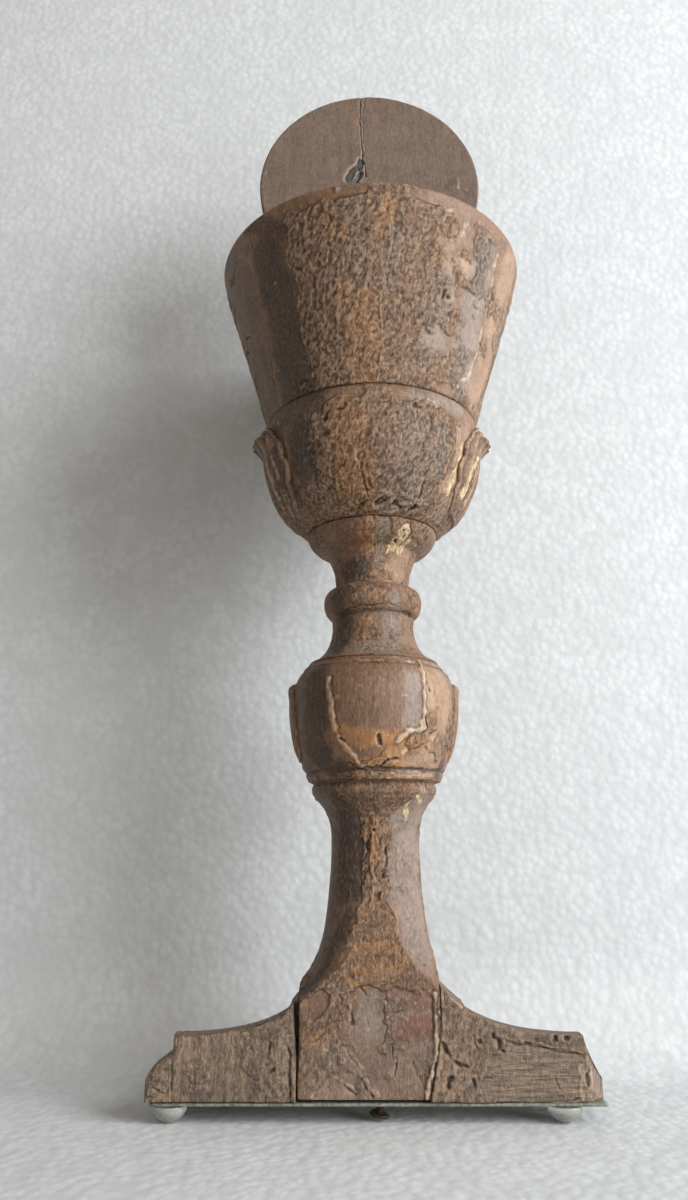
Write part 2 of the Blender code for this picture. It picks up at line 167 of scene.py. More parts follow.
def turned(outline, front, rear):
    """A surface of revolution from an outline that runs up its outer side."""
    profile, relief = outline
    slope = np.gradient(profile, axis=0)
    slope /= np.linalg.norm(slope, axis=1, keepdims=True)
    angle = np.radians(azimuths(front, rear))
    out = np.stack([np.sin(angle), -np.cos(angle)], -1)
    rows, columns = len(profile), len(angle)
    points = np.zeros((rows, columns, 3))
    normals = np.zeros_like(points)
    points[..., :2] = profile[:, :1, None] * out
    points[..., 2] = profile[:, 1:]
    normals[..., :2] = slope[:, 1:, None] * out
    normals[..., 2] = -slope[:, :1]
    degrees = (np.degrees(angle) + 180) % 360 - 180
    across = np.broadcast_to(degrees, (rows, columns))
    up = np.broadcast_to(profile[:, 1:], (rows, columns))
    scale = np.broadcast_to(np.radians(1) * np.maximum(profile[:, :1], 1), (rows, columns))
    return Surface(points, normals, across, up, scale, np.broadcast_to(relief[:, None], (rows, columns)))


def normals_of(points):
    """Outward normals of a loft whose loops run counterclockwise round its rows."""
    along = np.gradient(points, axis=0)
    around = np.roll(points, -1, axis=1) - np.roll(points, 1, axis=1)
    found = np.cross(around, along)
    return found / np.maximum(np.linalg.norm(found, axis=-1, keepdims=True), 1e-9)


def placed(name, data):
    """A new object in the scene."""
    thing = bpy.data.objects.new(name, data)
    bpy.context.scene.collection.objects.link(thing)
    return thing


def loft(name, surface):
    """One closed mesh from a surface's rows, with its masks as attributes."""
    points = surface.points * MM
    points[..., 2] += WOOD_BASE * MM
    rows, columns = points.shape[:2]
    index = np.arange(rows * columns).reshape(rows, columns)
    following = np.roll(index, -1, axis=1)
    quads = np.stack([index[:-1], following[:-1], following[1:], index[1:]], -1).reshape(-1, 4)
    faces = quads.tolist() + [index[0, ::-1].tolist(), index[-1].tolist()]
    mesh = bpy.data.meshes.new(name)
    mesh.from_pydata(points.reshape(-1, 3).tolist(), [], faces)
    mesh.shade_smooth()
    for kind, mask in surface.masks.items():
        attribute = mesh.attributes.new(kind, "FLOAT", "POINT")
        attribute.data.foreach_set("value", np.ravel(mask).astype(np.float32))
    return placed(name, mesh)


# ---- wear: marks, crust and relief ----
# What each kind of mark does: height in mm, and how far it keeps the crust away.
RELIEF = {
    "ridge": (0.38, 0.0),
    "crack": (-0.50, 0.0),
    "pit": (-0.70, 0.0),
    "chip": (-0.55, 1.0),
    "pale": (0.14, 0.3),
    "gold": (0.08, 0.6),
    "bare": (-0.22, 1.0),
    "dark": (0.0, 1.0),
    # This kind is dirt in some places and painted shade in others: on the sides away from the key light, in
    # creases and on the faces that look up.
    "grime_and_shade": (0.0, 0.5),
    "grey": (0.0, 0.15),
    "red": (0.0, 0.6),
    "tan": (0.0, 0.25),
    "ochre": (0.06, -0.25),
    "smooth": (0.0, 1.0),
    "crust": (0.0, -1.0),
}
PAINTED = ("ochre", "tan", "grey", "red", "grime_and_shade", "dark", "bare", "pale", "gold")


def away_from(surface, across, up, path):
    """Distance from a path of places, in mm."""
    nearest = np.full(across.shape, 1e3)
    for (a0, b0), (a1, b1) in zip(path, path[1:] or path):
        ax, ay = (across - a0) * surface.scale, up - b0
        bx, by = (a1 - a0) * surface.scale, b1 - b0
        part = np.clip((ax * bx + ay * by) / (bx * bx + by * by + 1e-9), 0, 1)
        nearest = np.minimum(nearest, np.hypot(ax - part * bx, ay - part * by))
    return nearest


def blurred(grid, passes=5):
    for _ in range(passes):
        grid = (np.roll(grid, 1, 1) + 2 * grid + np.roll(grid, -1, 1)) / 4
        padded = np.pad(grid, ((1, 1), (0, 0)), "edge")
        grid = (padded[:-2] + 2 * grid + padded[2:]) / 4
    return grid


def wear(surface, marks, seed, crust=0.0, rough=1.0, grain=(1.1, 1.1, 14.0), bare_grain=None, fleck=0.0):
    """Adds an old surface's relief and its masks.

    marks: for each kind, (half width in mm, strength, places along its path...).
    crust: how much of it carries rough crust, from -1 to 1. rough: strength of the crust's relief. grain: the
    size of the wood's fibres along x, y and z. fleck: how many loose pale flecks lie on it.
    """
    points = surface.points
    drift = layered(points, 7.0, seed + 1, 3), layered(points, 7.0, seed + 2, 3)
    fray = layered(points, 1.9, seed + 3, 2), layered(points, 1.9, seed + 4, 2)
    patchy = layered(points, 3.2, seed + 15, 3)
    swell = 1 + 0.9 * noise(points, 1.8, seed + 16)

    masks = {kind: np.zeros(points.shape[:2]) for kind in RELIEF}
    listed = [(kind, *mark) for kind, found in marks.items() for mark in found]
    for kind, width, strength, *path in listed:
        thin = width < 1.3
        strays = (0.40, 0.55) if thin else (0.22 * width + 0.8, 0.9)
        across = surface.across + (strays[0] * drift[0] + strays[1] * fray[0]) / surface.scale
        up = surface.up + strays[0] * drift[1] + strays[1] * fray[1]
        away = away_from(surface, across, up, path)
        soft = 0.35 if thin or kind == "chip" else 0.5 * width
        found = smooth_step(width * (swell if thin else 1) - away, -soft, soft)
        if strength < 1 and kind in ("ridge", "pale", "crack"):
            found = found * smooth_step(patchy, -0.40, 0.15)
        masks[kind] = np.maximum(masks[kind], strength * found)

    calm = sum(keep * masks[kind] for kind, (_, keep) in RELIEF.items())
    field = crust + 0.75 * layered(points, 8.0, seed + 5, 4) - 1.3 * calm
    cover = smooth_step(field, -0.08, 0.20)
    edge = 4 * cover * (1 - cover)

    lean = points + 0.9 * np.stack([fray[0], fray[1], fray[0] - fray[1]], -1)
    lean[..., 0] -= 0.30 * points[..., 2]
    coarse = layered(points, (3.0, 3.0, 4.5), seed + 6, 3)
    creases = layered(lean, (1.7, 1.7, 2.8), seed + 7, 2)
    fine = 1 - 2 * np.abs(noise(lean, (1.1, 1.1, 1.9), seed + 17))
    fibre = noise(points, grain, seed + 8)
    height = cover * rough * (0.11 + 0.22 * coarse + 0.24 * creases + 0.12 * fine)
    height += 0.14 * layered(points, 14.0, seed + 10, 2) + (1 - cover) * (0.05 * fibre + 0.03 * fine)
    if bare_grain:
        fibres = layered(points, bare_grain, seed + 11, 3)
        height += masks["bare"] * 0.22 * fibres
    for kind, (depth, _) in RELIEF.items():
        height += depth * masks[kind]

    flecks = smooth_step(noise(points, 1.5, seed + 12) + 0.5 * layered(points, 8.0, seed + 13, 2), 0.86, 0.96)
    masks["pale"] = np.maximum(masks["pale"], np.clip(0.30 * masks["ridge"] + fleck * flecks, 0, 1))
    rubbed = 0.16 * edge * smooth_step(layered(points, 6.0, seed + 14, 2), 0.0, 0.5)
    masks["pale"] = np.maximum(masks["pale"], rubbed)
    # Cracks and pits are painted near-black: painted shade in them.
    masks["hollow"] = np.clip(0.7 * masks["crack"] + 0.7 * masks["pit"], 0, 1)
    masks["crust"] = cover
    # Height above its blurred self: the materials paint shade into the relief's hollows and highlight onto
    # its crests from this mask.
    masks["relief_shade_and_highlight"] = np.clip((height - blurred(height)) / 0.15, -1, 1)
    surface.masks = {kind: masks[kind] for kind in (*PAINTED, "crust", "hollow", "relief_shade_and_highlight", "chip")}
    surface.points = points + surface.normals * (height * surface.relief)[..., None]
    return surface


# ---- node materials ----
# Colours of each paint, from its darker to its lighter shade, and its roughness.
PAINTS = {
    "crust": ((0.125, 0.056, 0.025), (0.350, 0.190, 0.100), 0.50),
    "ochre": ((0.250, 0.102, 0.030), (0.470, 0.225, 0.080), 0.56),
    "tan": ((0.250, 0.145, 0.085), (0.400, 0.255, 0.160), 0.42),
    "grey": ((0.150, 0.110, 0.088), (0.280, 0.215, 0.175), 0.37),
    "red": ((0.112, 0.040, 0.024), (0.190, 0.076, 0.046), 0.44),
    "grime_and_shade": ((0.070, 0.043, 0.029), (0.140, 0.090, 0.062), 0.48),
    "dark": ((0.016, 0.008, 0.005), (0.040, 0.021, 0.013), 0.44),
    "bare": ((0.090, 0.062, 0.044), (0.300, 0.220, 0.155), 0.72),
    "chip": ((0.045, 0.043, 0.041), (0.100, 0.094, 0.087), 0.80),
    "pale": ((0.340, 0.235, 0.145), (0.580, 0.450, 0.310), 0.54),
    "gold": ((0.560, 0.390, 0.190), (0.850, 0.680, 0.420), 0.38),
    # Near-black in cracks and pits: painted shade.
    "hollow": ((0.018, 0.010, 0.006), (0.055, 0.030, 0.018), 0.90),
}
OLD_WOOD = {
    "crust": ((0.115, 0.076, 0.048), (0.310, 0.215, 0.145), 0.60),
    "ochre": ((0.190, 0.110, 0.060), (0.330, 0.215, 0.130), 0.62),
}


class Nodes:
    """A small helper round one material's node tree. Lengths are in millimetres."""

    def __init__(self, name):
        self.material = bpy.data.materials.new(name)
        self.material.use_nodes = True
        self.tree = self.material.node_tree
        self.shader = self.tree.nodes["Principled BSDF"]
        self.place = self.add("ShaderNodeTexCoord").outputs["Object"]

    def add(self, kind, inputs=(), **settings):
        node = self.tree.nodes.new(kind)
        for key, value in settings.items():
            setattr(node, key, value)
        for key, value in dict(inputs).items():
            self.put(node.inputs[key], value)
        return node

    def put(self, socket, value):
        if isinstance(value, bpy.types.NodeSocket):
            self.tree.links.new(value, socket)
        else:
            socket.default_value = value

    def noise(self, size, detail=3.0, stretch=(1, 1, 1), rough=0.55):
        scale = [1 / (MM * length) for length in stretch]
        place = self.add("ShaderNodeMapping", {"Vector": self.place, "Scale": scale}).outputs[0]
        inputs = {"Vector": place, "Scale": 1 / size, "Detail": detail, "Roughness": rough}
        return self.add("ShaderNodeTexNoise", inputs).outputs["Fac"]

    def maths(self, operation, first, second=0.0, clamp=False):
        node = self.add("ShaderNodeMath", operation=operation, use_clamp=clamp)
        self.put(node.inputs[0], first)
        self.put(node.inputs[1], second)
        return node.outputs[0]

    def times(self, first, second):
        return self.maths("MULTIPLY", first, second)

    def plus(self, first, second):
        return self.maths("ADD", first, second)

    def swing(self, value, strength):
        """A noise's value about its middle, times a strength."""
        return self.times(self.maths("SUBTRACT", value, 0.5), strength)

    def give(self, socket, value):
        """Sets or links one of the shader's inputs."""
        self.put(self.shader.inputs[socket], value)

    def spread(self, value, low, high):
        """0 below low and 1 above high."""
        inputs = {"Value": value, "From Min": low, "From Max": high}
        return self.add("ShaderNodeMapRange", inputs, clamp=True).outputs["Result"]

    def mask(self, kind):
        return self.add("ShaderNodeAttribute", attribute_name=kind).outputs["Fac"]

    def mix(self, amount, first, second, blend="MIX"):
        node = self.add("ShaderNodeMix", data_type="RGBA", blend_type=blend)
        self.put(node.inputs["Factor"], amount)
        for socket, value in ((node.inputs[6], first), (node.inputs[7], second)):
            self.put(socket, (*value, 1.0) if isinstance(value, tuple) else value)
        return node.outputs[2]

    def blend_value(self, amount, first, second):
        node = self.add("ShaderNodeMix", data_type="FLOAT")
        for socket, value in zip((node.inputs[0], node.inputs[2], node.inputs[3]), (amount, first, second)):
            self.put(socket, value)
        return node.outputs[0]

    def bump(self, height, depth, normal=None):
        inputs = {"Height": height, "Distance": depth * MM, "Strength": 1.0}
        if normal is not None:
            inputs["Normal"] = normal
        return self.add("ShaderNodeBump", inputs).outputs[0]


def aged_material(
    name, dark, light, roughness, stretch=(1, 1, 12), bare_stretch=(12, 1, 1), grain=0.35, own=(), flaking=0.2
):
    """Old painted wood: a ground from dark to light, covered by the paints that the masks give."""
    n = Nodes(name)
    clouds = n.noise(7.0, 4.0)
    grit = n.noise(0.50, 4.0, rough=0.75)
    scabs = n.noise(1.15, 4.0, stretch=(1, 1, 1.4), rough=0.7)
    mottle = n.noise(2.3, 5.0, rough=0.7)
    fibres = n.noise(0.42, 3.0, stretch=stretch)
    bare_fibres = n.noise(0.5, 4.0, stretch=bare_stretch, rough=0.7)
    shade = n.spread(n.plus(n.times(mottle, 0.6), n.times(clouds, 0.4)), 0.38, 0.60)
    colour = n.mix(shade, dark, light)
    grained = n.mix(n.spread(fibres, 0.35, 0.62), tuple(0.55 * c for c in dark), light)
    colour = n.mix(grain, colour, grained)
    value = roughness
    fray = n.swing(n.noise(1.4, 6.0, rough=0.8), 1.5)
    for kind in ("crust", *PAINTED, "chip", "hollow"):
        low, high, paint_roughness = {**PAINTS, **dict(own)}[kind]
        mask = n.mask(kind)
        soft = kind in ("dark", "grime_and_shade", "grey", "ochre", "tan", "red", "crust", "pale")
        amount = n.spread(n.plus(mask, fray), 0.20 if soft else 0.32, 0.95 if soft else 0.76)
        amount = n.times(amount, n.spread(mask, 0.0, 0.55 if soft else 0.30))
        if kind in ("pale", "gold"):
            amount = n.times(amount, n.spread(scabs, 0.36, 0.54))
        tone = n.spread(bare_fibres, 0.34, 0.64) if kind == "bare" else shade
        colour = n.mix(n.times(amount, 0.88 if soft else 1.0), colour, n.mix(tone, low, high))
        value = n.blend_value(amount, value, paint_roughness)
        if kind == "gold":
            shine = n.times(amount, 0.55)
    crust = n.mask("crust")
    flakes = n.noise(1.15, 6.0, stretch=(0.8, 0.8, 1.7), rough=0.85)
    loose = n.maths("MAXIMUM", crust, flaking)
    colour = n.mix(n.times(n.spread(flakes, 0.52, 0.62), n.times(loose, 0.72)), colour, (0.58, 0.42, 0.27))
    # Darker in the gaps between the raised flakes: painted shade.
    colour = n.mix(n.times(n.spread(flakes, 0.48, 0.38), n.times(loose, 0.88)), colour, (0.026, 0.014, 0.008))
    rubble = n.swing(scabs, n.times(crust, 2.2))
    # Darker in the hollows of the relief and lighter on its crests, with noise: painted shade and painted
    # highlight.
    relief_shade_and_highlight = n.plus(n.mask("relief_shade_and_highlight"), n.plus(rubble, n.swing(grit, 0.9)))
    colour = n.mix(n.times(n.spread(relief_shade_and_highlight, 0.1, -0.9), 0.62), colour, (0.016, 0.009, 0.006))
    colour = n.mix(n.times(n.spread(relief_shade_and_highlight, 0.15, 1.1), 0.42), colour, (0.52, 0.39, 0.27))
    n.give("Base Color", colour)
    n.give("Roughness", n.plus(value, n.swing(grit, 0.30)))
    n.give("Metallic", shine)
    normal = n.bump(grit, 0.12)
    normal = n.bump(fibres, 0.06 + 0.14 * flaking, normal)
    normal = n.bump(n.times(scabs, n.plus(n.times(crust, 0.8), 0.2)), 1.00, normal)
    normal = n.bump(n.times(flakes, loose), 0.95, normal)
    n.give("Normal", n.bump(n.times(bare_fibres, n.mask("bare")), 0.30, normal))
    return n.material


def plain_wood(name):
    n = Nodes(name)
    fibres = n.noise(0.5, 4.0, stretch=(1, 1, 14), rough=0.7)
    clouds = n.noise(6.0, 3.0)
    colour = n.mix(n.spread(fibres, 0.3, 0.66), (0.20, 0.125, 0.070), (0.42, 0.29, 0.18))
    n.give("Base Color", n.mix(n.times(clouds, 0.5), colour, (0.14, 0.09, 0.055)))
    n.give("Roughness", n.spread(fibres, -1.5, 1.8))
    n.give("Normal", n.bump(fibres, 0.12))
    return n.material


def card_material():
    n = Nodes("sole_card")
    mottle = n.noise(1.6, 4.0, rough=0.7)
    colour = n.mix(n.spread(mottle, 0.35, 0.7), (0.085, 0.085, 0.070), (0.30, 0.31, 0.26))
    n.give("Base Color", colour)
    n.give("Roughness", 0.85)
    n.give("Normal", n.bump(mottle, 0.15))
    return n.material


def bumper_material():
    n = Nodes("clear_bumper")
    haze_and_refraction = n.noise(1.2, 4.0, stretch=(4, 1, 1), rough=0.7)
    # The beige streaks stand in for the wood seen through the dome: painted refraction of the wood above it.
    n.give("Base Color", n.mix(n.spread(haze_and_refraction, 0.45, 0.75), (0.80, 0.83, 0.78), (0.66, 0.60, 0.50)))
    n.give("Roughness", n.spread(haze_and_refraction, -0.2, 2.2))
    n.give("Transmission Weight", 0.72)
    n.give("IOR", 1.46)
    return n.material


def iron_material():
    n = Nodes("old_iron")
    rust = n.noise(0.9, 4.0, rough=0.7)
    colour = n.mix(n.spread(rust, 0.4, 0.7), (0.022, 0.016, 0.015), (0.105, 0.045, 0.026))
    n.give("Base Color", colour)
    n.give("Roughness", n.spread(rust, -0.8, 1.1))
    n.give("Metallic", 0.5)
    n.give("Normal", n.bump(rust, 0.25))
    return n.material


BROWN = (0.122, 0.060, 0.029), (0.250, 0.135, 0.072)
GREY_BROWN = (0.118, 0.080, 0.058), (0.178, 0.122, 0.090)
WOODY = (0.125, 0.082, 0.054), (0.290, 0.200, 0.138)
GILDED = {  # roughness, length of the fibres, how much grain shows, how loose the paint is
    "cup_gilding": (0.44, 10, 0.30, 0.25),
    "calyx_gilding": (0.44, 8, 0.30, 0.40),
    "leaf_gilding": (0.50, 10, 0.25, 0.45),
    "neck_gilding": (0.46, 10, 0.40, 0.50),
    "knop_gilding": (0.42, 16, 0.45, 0.22),
    "stem_gilding": (0.46, 10, 0.30, 0.40),
}
MATERIALS = {
    name: aged_material(name, *BROWN, rough, (1, 1, length), grain=grain, flaking=flaking)
    for name, (rough, length, grain, flaking) in GILDED.items()
}
MATERIALS |= {
    "host_wood": aged_material("host_wood", *GREY_BROWN, 0.62, (1.5, 1.5, 18), grain=0.16, flaking=0.14),
    "foot_wood": aged_material("foot_wood", *WOODY, 0.70, (1, 1, 5), (14, 1, 1), 0.80, OLD_WOOD, 0.50),
    "peg_wood": plain_wood("peg_wood"),
    "sole_card": card_material(),
    "clear_bumper": bumper_material(),
    "old_iron": iron_material(),
}


def finished(piece, body, slot, *nodes):
    """Gives a piece its material and its body, and hides the CAD nodes that it stands for."""
    piece.data.materials.append(MATERIALS[slot])
    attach(piece, body)
    if nodes:
        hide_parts(*nodes)
    return piece


# ---- cup ----
def make_cup():
    seat = CUP_BASE - 0.22
    outline = outline_of(
        (line((0.4, 213.0), (12.0, 213.0), (12.0, seat), (39.6, seat), spacing=5.0), 0.0),
        (curve((40.2, CUP_BASE + 0.1), (45.5, 252.0), (54.5, 278.0), (RIM_RADIUS, 296.5), 0.50), 1.0),
        (bulge((RIM_RADIUS - 1.3, 296.8), (1.3, 1.2), 10, 170, 0.30), 0.7),
        (curve((56.8, 296.6), (52.0, 278.0), (44.0, 263.5), (14.0, 262.0), 1.50), 0.8),
        (line((13.0, 262.0), (4.8, 262.0), (4.8, 242.0), (0.4, 242.0), spacing=4.0), 0.0),
    )
    surface = turned(outline, 380, 80)
    within = outline[0][:, 0] < RIM_RADIUS - 2.2
    within &= outline[0][:, 1] > 240
    within &= np.arange(len(within)) > np.argmax(outline[0][:, 1])
    surface.across = np.where(within[:, None], OFF_FACE, surface.across)
    outer = {
        # The dark marks, and the darkening at -72 degrees below, lie on the left and at the back, away from
        # the key light: partly dark paint, partly painted shade.
        "dark": [
            (9.0, 1.0, (-44, 234), (-44, 284)), (4.0, 0.8, (-36, 288), (-50, 297)),
            (6.0, 0.5, (-58, 240), (-60, 284)), (8.0, 0.9, (-150, 236), (-158, 272)),
        ],
        "smooth": [(3.4, 1.0, (-100, 295.5), (-20, 295.5), (20, 296), (100, 296))],
        "grime_and_shade": [(11.0, 0.9, (-72, 238), (-72, 292))],
        "tan": [
            (5.0, 0.35, (-56, 286), (-44, 289)), (14.0, 0.45, (24, 240), (24, 286)),
            (3.0, 1.0, (37, 277), (40, 275)), (9.0, 0.9, (68, 238), (68, 288)),
            (8.0, 0.6, (-120, 246), (-118, 280)),
        ],
        "crack": [
            (0.45, 1.0, (-84, 264), (-79, 261), (-76, 266), (-71, 264)),
            (0.35, 0.9, (-86, 240), (-81, 249), (-80, 262)), (0.35, 0.9, (-67, 273), (-64, 266)),
            (0.30, 0.8, (-60, 238), (-57, 249)), (0.25, 0.8, (5, 262), (6, 274)),
            (0.45, 1.0, (178, 234), (174, 252), (179, 271)),
        ],
        "ridge": [
            (0.40, 0.7, (-32, 233), (-30, 250), (-33, 262), (-30, 286)), (0.35, 0.7, (-22, 255), (-18, 276)),
            (0.35, 0.7, (-26, 248), (-23, 268)), (0.30, 0.6, (-17, 250), (-14, 272)),
            (0.30, 0.8, (1.5, 232), (3.5, 245), (2, 262)), (0.30, 0.7, (3, 263), (7, 282)),
            (0.30, 0.7, (8, 268), (11, 288)),
        ],
        "crust": [(26.0, 0.8, (-8, 240), (-4, 288))],
        "ochre": [
            (5.5, 1.0, (-5, 234), (-4, 258)), (4.0, 0.8, (-9, 238), (-12, 262)),
            (3.2, 1.0, (3, 283), (5, 291)), (5.0, 0.6, (-14, 280), (-18, 290)),
            (9.0, 0.6, (150, 240), (140, 286)),
        ],
        "grey": [
            (3.2, 0.6, (5, 264), (8, 281)), (5.5, 0.7, (27, 244), (29, 268)),
            (7.5, 0.9, (48, 240), (47, 284)), (2.5, 0.5, (24, 288), (22, 292)),
            (10.0, 0.8, (110, 244), (114, 284)),
        ],
        "pit": [
            (0.55, 1.0, (29, 263), (30, 266)), (0.50, 0.9, (33, 269)), (0.55, 0.9, (32, 264)),
            (0.40, 0.9, (34, 262)),
        ],
        "pale": [
            (5.0, 0.35, (30, 244), (32, 284)), (4.0, 0.35, (14, 280), (34, 291)),
            (0.8, 0.7, (54, 240), (57, 258), (54, 288)), (0.9, 0.8, (47, 236), (52, 241)),
            (1.1, 0.8, (23, 287), (28, 292)), (0.7, 0.8, (33, 284), (35, 290)),
            (1.2, 0.8, (-135, 268), (-128, 276)),
        ],
    }
    wear(surface, outer, seed=100, crust=0.24, rough=1.4, grain=(1.2, 1.2, 16.0), fleck=0.8)
    deepen(surface, "grime_and_shade", 0.8 * within[:, None])
    surface.masks["crust"] *= 1 - 0.7 * within[:, None]
    return finished(loft("chalice_cup", surface), "chalice", "cup_gilding", "cup")


# ---- calyx and its leaves ----
CALYX_CURVE = (24.5, NECK_TOP + 0.3), (33.0, 194.0), (39.6, 206.0), (40.1, 222.2)
CALYX_BAND = (39.4, 227.0), (1.8, 4.2)
KNOP_LOW = (22.9, 97.1), (25.5, 102.5), (29.0, 112.0), (29.2, 123.0)
KNOP_HIGH = (29.2, 123.0), (29.4, 130.0), (27.6, 134.0), (24.3, 137.0)


def make_calyx():
    outline = outline_of(
        (line((0.4, 203.3), (9.3, 203.3), (9.3, NECK_TOP + 0.08), (24.0, NECK_TOP + 0.08), spacing=5.0), 0.0),
        (curve(*CALYX_CURVE, 0.45), 1.0),
        (bulge(*CALYX_BAND, -58, 80, 0.40), 0.55),
        (line((39.0, CALYX_TOP), (12.3, CALYX_TOP), (12.3, 212.7), (0.4, 212.7), spacing=5.0), 0.0),
    )
    surface = turned(outline, 330, 110)
    marks = {
        "smooth": [
            (4.5, 1.0, (-80, 229.2), (80, 229.2)), (5.0, 1.0, (100, 228.5), (179, 228.5)),
            (5.0, 1.0, (-179, 228.5), (-100, 228.5)),
        ],
        # The dark marks lie on the left and at the back, away from the key light, the first along the left of
        # the bead: partly dark paint, partly painted shade.
        "dark": [
            (5.5, 0.9, (-75, 228), (-30, 228)), (6.0, 1.0, (-42, 205), (-43, 220)),
            (5.0, 0.8, (-58, 200), (-62, 222)), (8.0, 0.9, (170, 204), (165, 218)),
        ],
        "tan": [
            (2.2, 0.9, (-41, 197), (-41, 206)), (2.6, 0.8, (-34, 190), (-36, 195)),
            (3.0, 0.7, (-46, 225), (-33, 224)), (6.0, 0.9, (56, 194), (56, 220)),
            (5.0, 0.8, (-140, 198), (-146, 214)),
        ],
        "crust": [(24.0, 0.8, (-12, 192), (0, 220))],
        "ochre": [(8.0, 1.0, (-13, 197), (-12, 218)), (2.5, 0.8, (-26, 224), (-10, 224))],
        "crack": [
            (0.28, 0.9, (-5, 193), (-7, 200), (-9, 206)), (0.18, 0.8, (-3, 196), (-5, 203)),
            (0.32, 0.9, (31, 194), (30, 201), (33, 206)),
        ],
        "pit": [
            (0.55, 0.9, (-18, 222.4), (-14, 223.2)), (0.45, 0.9, (27, 222.6), (31, 220.8)),
            (0.45, 0.9, (20, 224.2), (23, 223.4)), (0.7, 0.8, (-26, 219.5), (-25, 221)),
            (0.5, 0.9, (0, 191.5), (7, 192.3)), (0.5, 0.9, (-12, 190.5), (-9, 191)),
            (0.45, 0.9, (14, 192), (20, 190.8)), (0.5, 0.9, (27, 190), (31, 191.2)),
        ],
        "ridge": [
            (0.40, 0.9, (-3, 204), (-1, 212), (-1, 221)), (0.40, 0.9, (49, 196), (48, 222)),
            (0.40, 0.9, (39, 222), (36, 213), (33, 218)),
            (0.6, 0.9, (-25, 190.5), (-8, 193.6), (12, 194.6), (33, 192.8)),
        ],
        "red": [(4.5, 0.6, (3, 206), (5, 218))],
        "grey": [
            (8.0, 0.7, (22, 198), (19, 217)), (4.0, 0.8, (36, 203), (37, 219)),
            (3.0, 0.8, (20, 228), (48, 228)), (7.0, 0.8, (140, 200), (136, 216)),
        ],
        "pale": [
            (4.0, 0.40, (22, 200), (20, 214)), (2.0, 0.6, (8, 191.5), (34, 192.5)),
            (1.1, 0.8, (27, 226), (33, 225), (36, 223)), (3.0, 0.45, (44, 196), (50, 216)),
            (2.5, 0.40, (24, 194), (40, 198)),
        ],
        "gold": [(1.2, 0.7, (52, 198), (55, 216))],
    }
    wear(surface, marks, seed=200, crust=0.26, rough=1.4, grain=(1.1, 1.1, 10.0), fleck=0.9)
    return finished(loft("chalice_calyx", surface), "chalice", "calyx_gilding", "calyx")


def leaf_surface(side, bed, span, half_width, thickness, curl, flutes, size):
    """A carved leaf on a turned bed: fluted, scalloped along its sides, its tip rolled outwards."""
    rows, columns = size
    u = np.linspace(0, 1, rows)[:, None]
    v = np.linspace(-1, 1, columns)[None, :]
    height = span[0] + (span[1] - span[0]) * u
    radius = np.interp(height, bed[:, 1], bed[:, 0])
    lobes = 1 + 0.08 * np.abs(np.sin(3.5 * math.pi * u)) - 0.05 * (u > 0.93)
    width = half_width * lobes * (0.30 + 0.70 * np.sin(math.pi * (0.10 + 0.76 * u)) ** 0.9)
    roll = smooth_step(u, 0.76, 0.97) * np.exp(-((v / 0.55) ** 4))
    side_roll = np.exp(-(((u - 0.66) / 0.05) ** 2)) * np.exp(-(((np.abs(v) - 0.62) / 0.30) ** 2))
    crown = thickness * (0.35 + 0.65 * np.cos(0.5 * math.pi * v) ** 0.6)
    groove = np.abs(np.sin((flutes + 0.5) * math.pi * v)) ** 0.7
    outer = radius + curl * roll + 0.35 * curl * side_roll
    top = outer + crown * (1 + 0.9 * roll) + 0.9 * thickness * (groove - 0.3) * smooth_step(u, 0.0, 0.15)
    middle = math.radians(90 * SIDES[side])
    loops = []
    for reach, across in ((top, v), (outer - 0.5, v[:, ::-1])):
        reach = reach if across is v else reach[:, ::-1]
        angle = middle + across * width / radius
        lift = height - 0.9 * curl * smooth_step(u, 0.93, 1.0) * roll[:, :: 1 if across is v else -1]
        loops.append(np.stack([reach * np.sin(angle), -reach * np.cos(angle), lift + 0 * angle], -1))
    points = np.concatenate(loops, axis=1)
    middle = np.degrees(middle)
    across = np.concatenate([middle + v * 30 + 0 * u, middle - v * 30 + 0 * u], axis=1)
    up = points[..., 2]
    scale = np.full(up.shape, 0.6)
    relief = np.concatenate([np.ones((rows, columns)), np.zeros((rows, columns))], axis=1)
    surface = Surface(points, normals_of(points), across, up, scale, relief)
    surface.groove = np.concatenate([groove + 0 * u, np.ones((rows, columns))], axis=1)
    return surface


def deepen(surface, kind, amount):
    """Raises a mask to an amount where it is below it."""
    surface.masks[kind] = np.maximum(surface.masks[kind], amount)


def tint_flutes(surface, ridges, groove_shade):
    """Paint left on a leaf's ridges, and painted shade in its grooves."""
    broken = smooth_step(layered(surface.points, 3.0, 395, 2), -0.5, 0.3)
    crests = ridges * smooth_step(surface.groove, 0.80, 0.97) * broken
    deepen(surface, "pale", crests)
    deepen(surface, "dark", groove_shade * smooth_step(surface.groove, 0.55, 0.25))


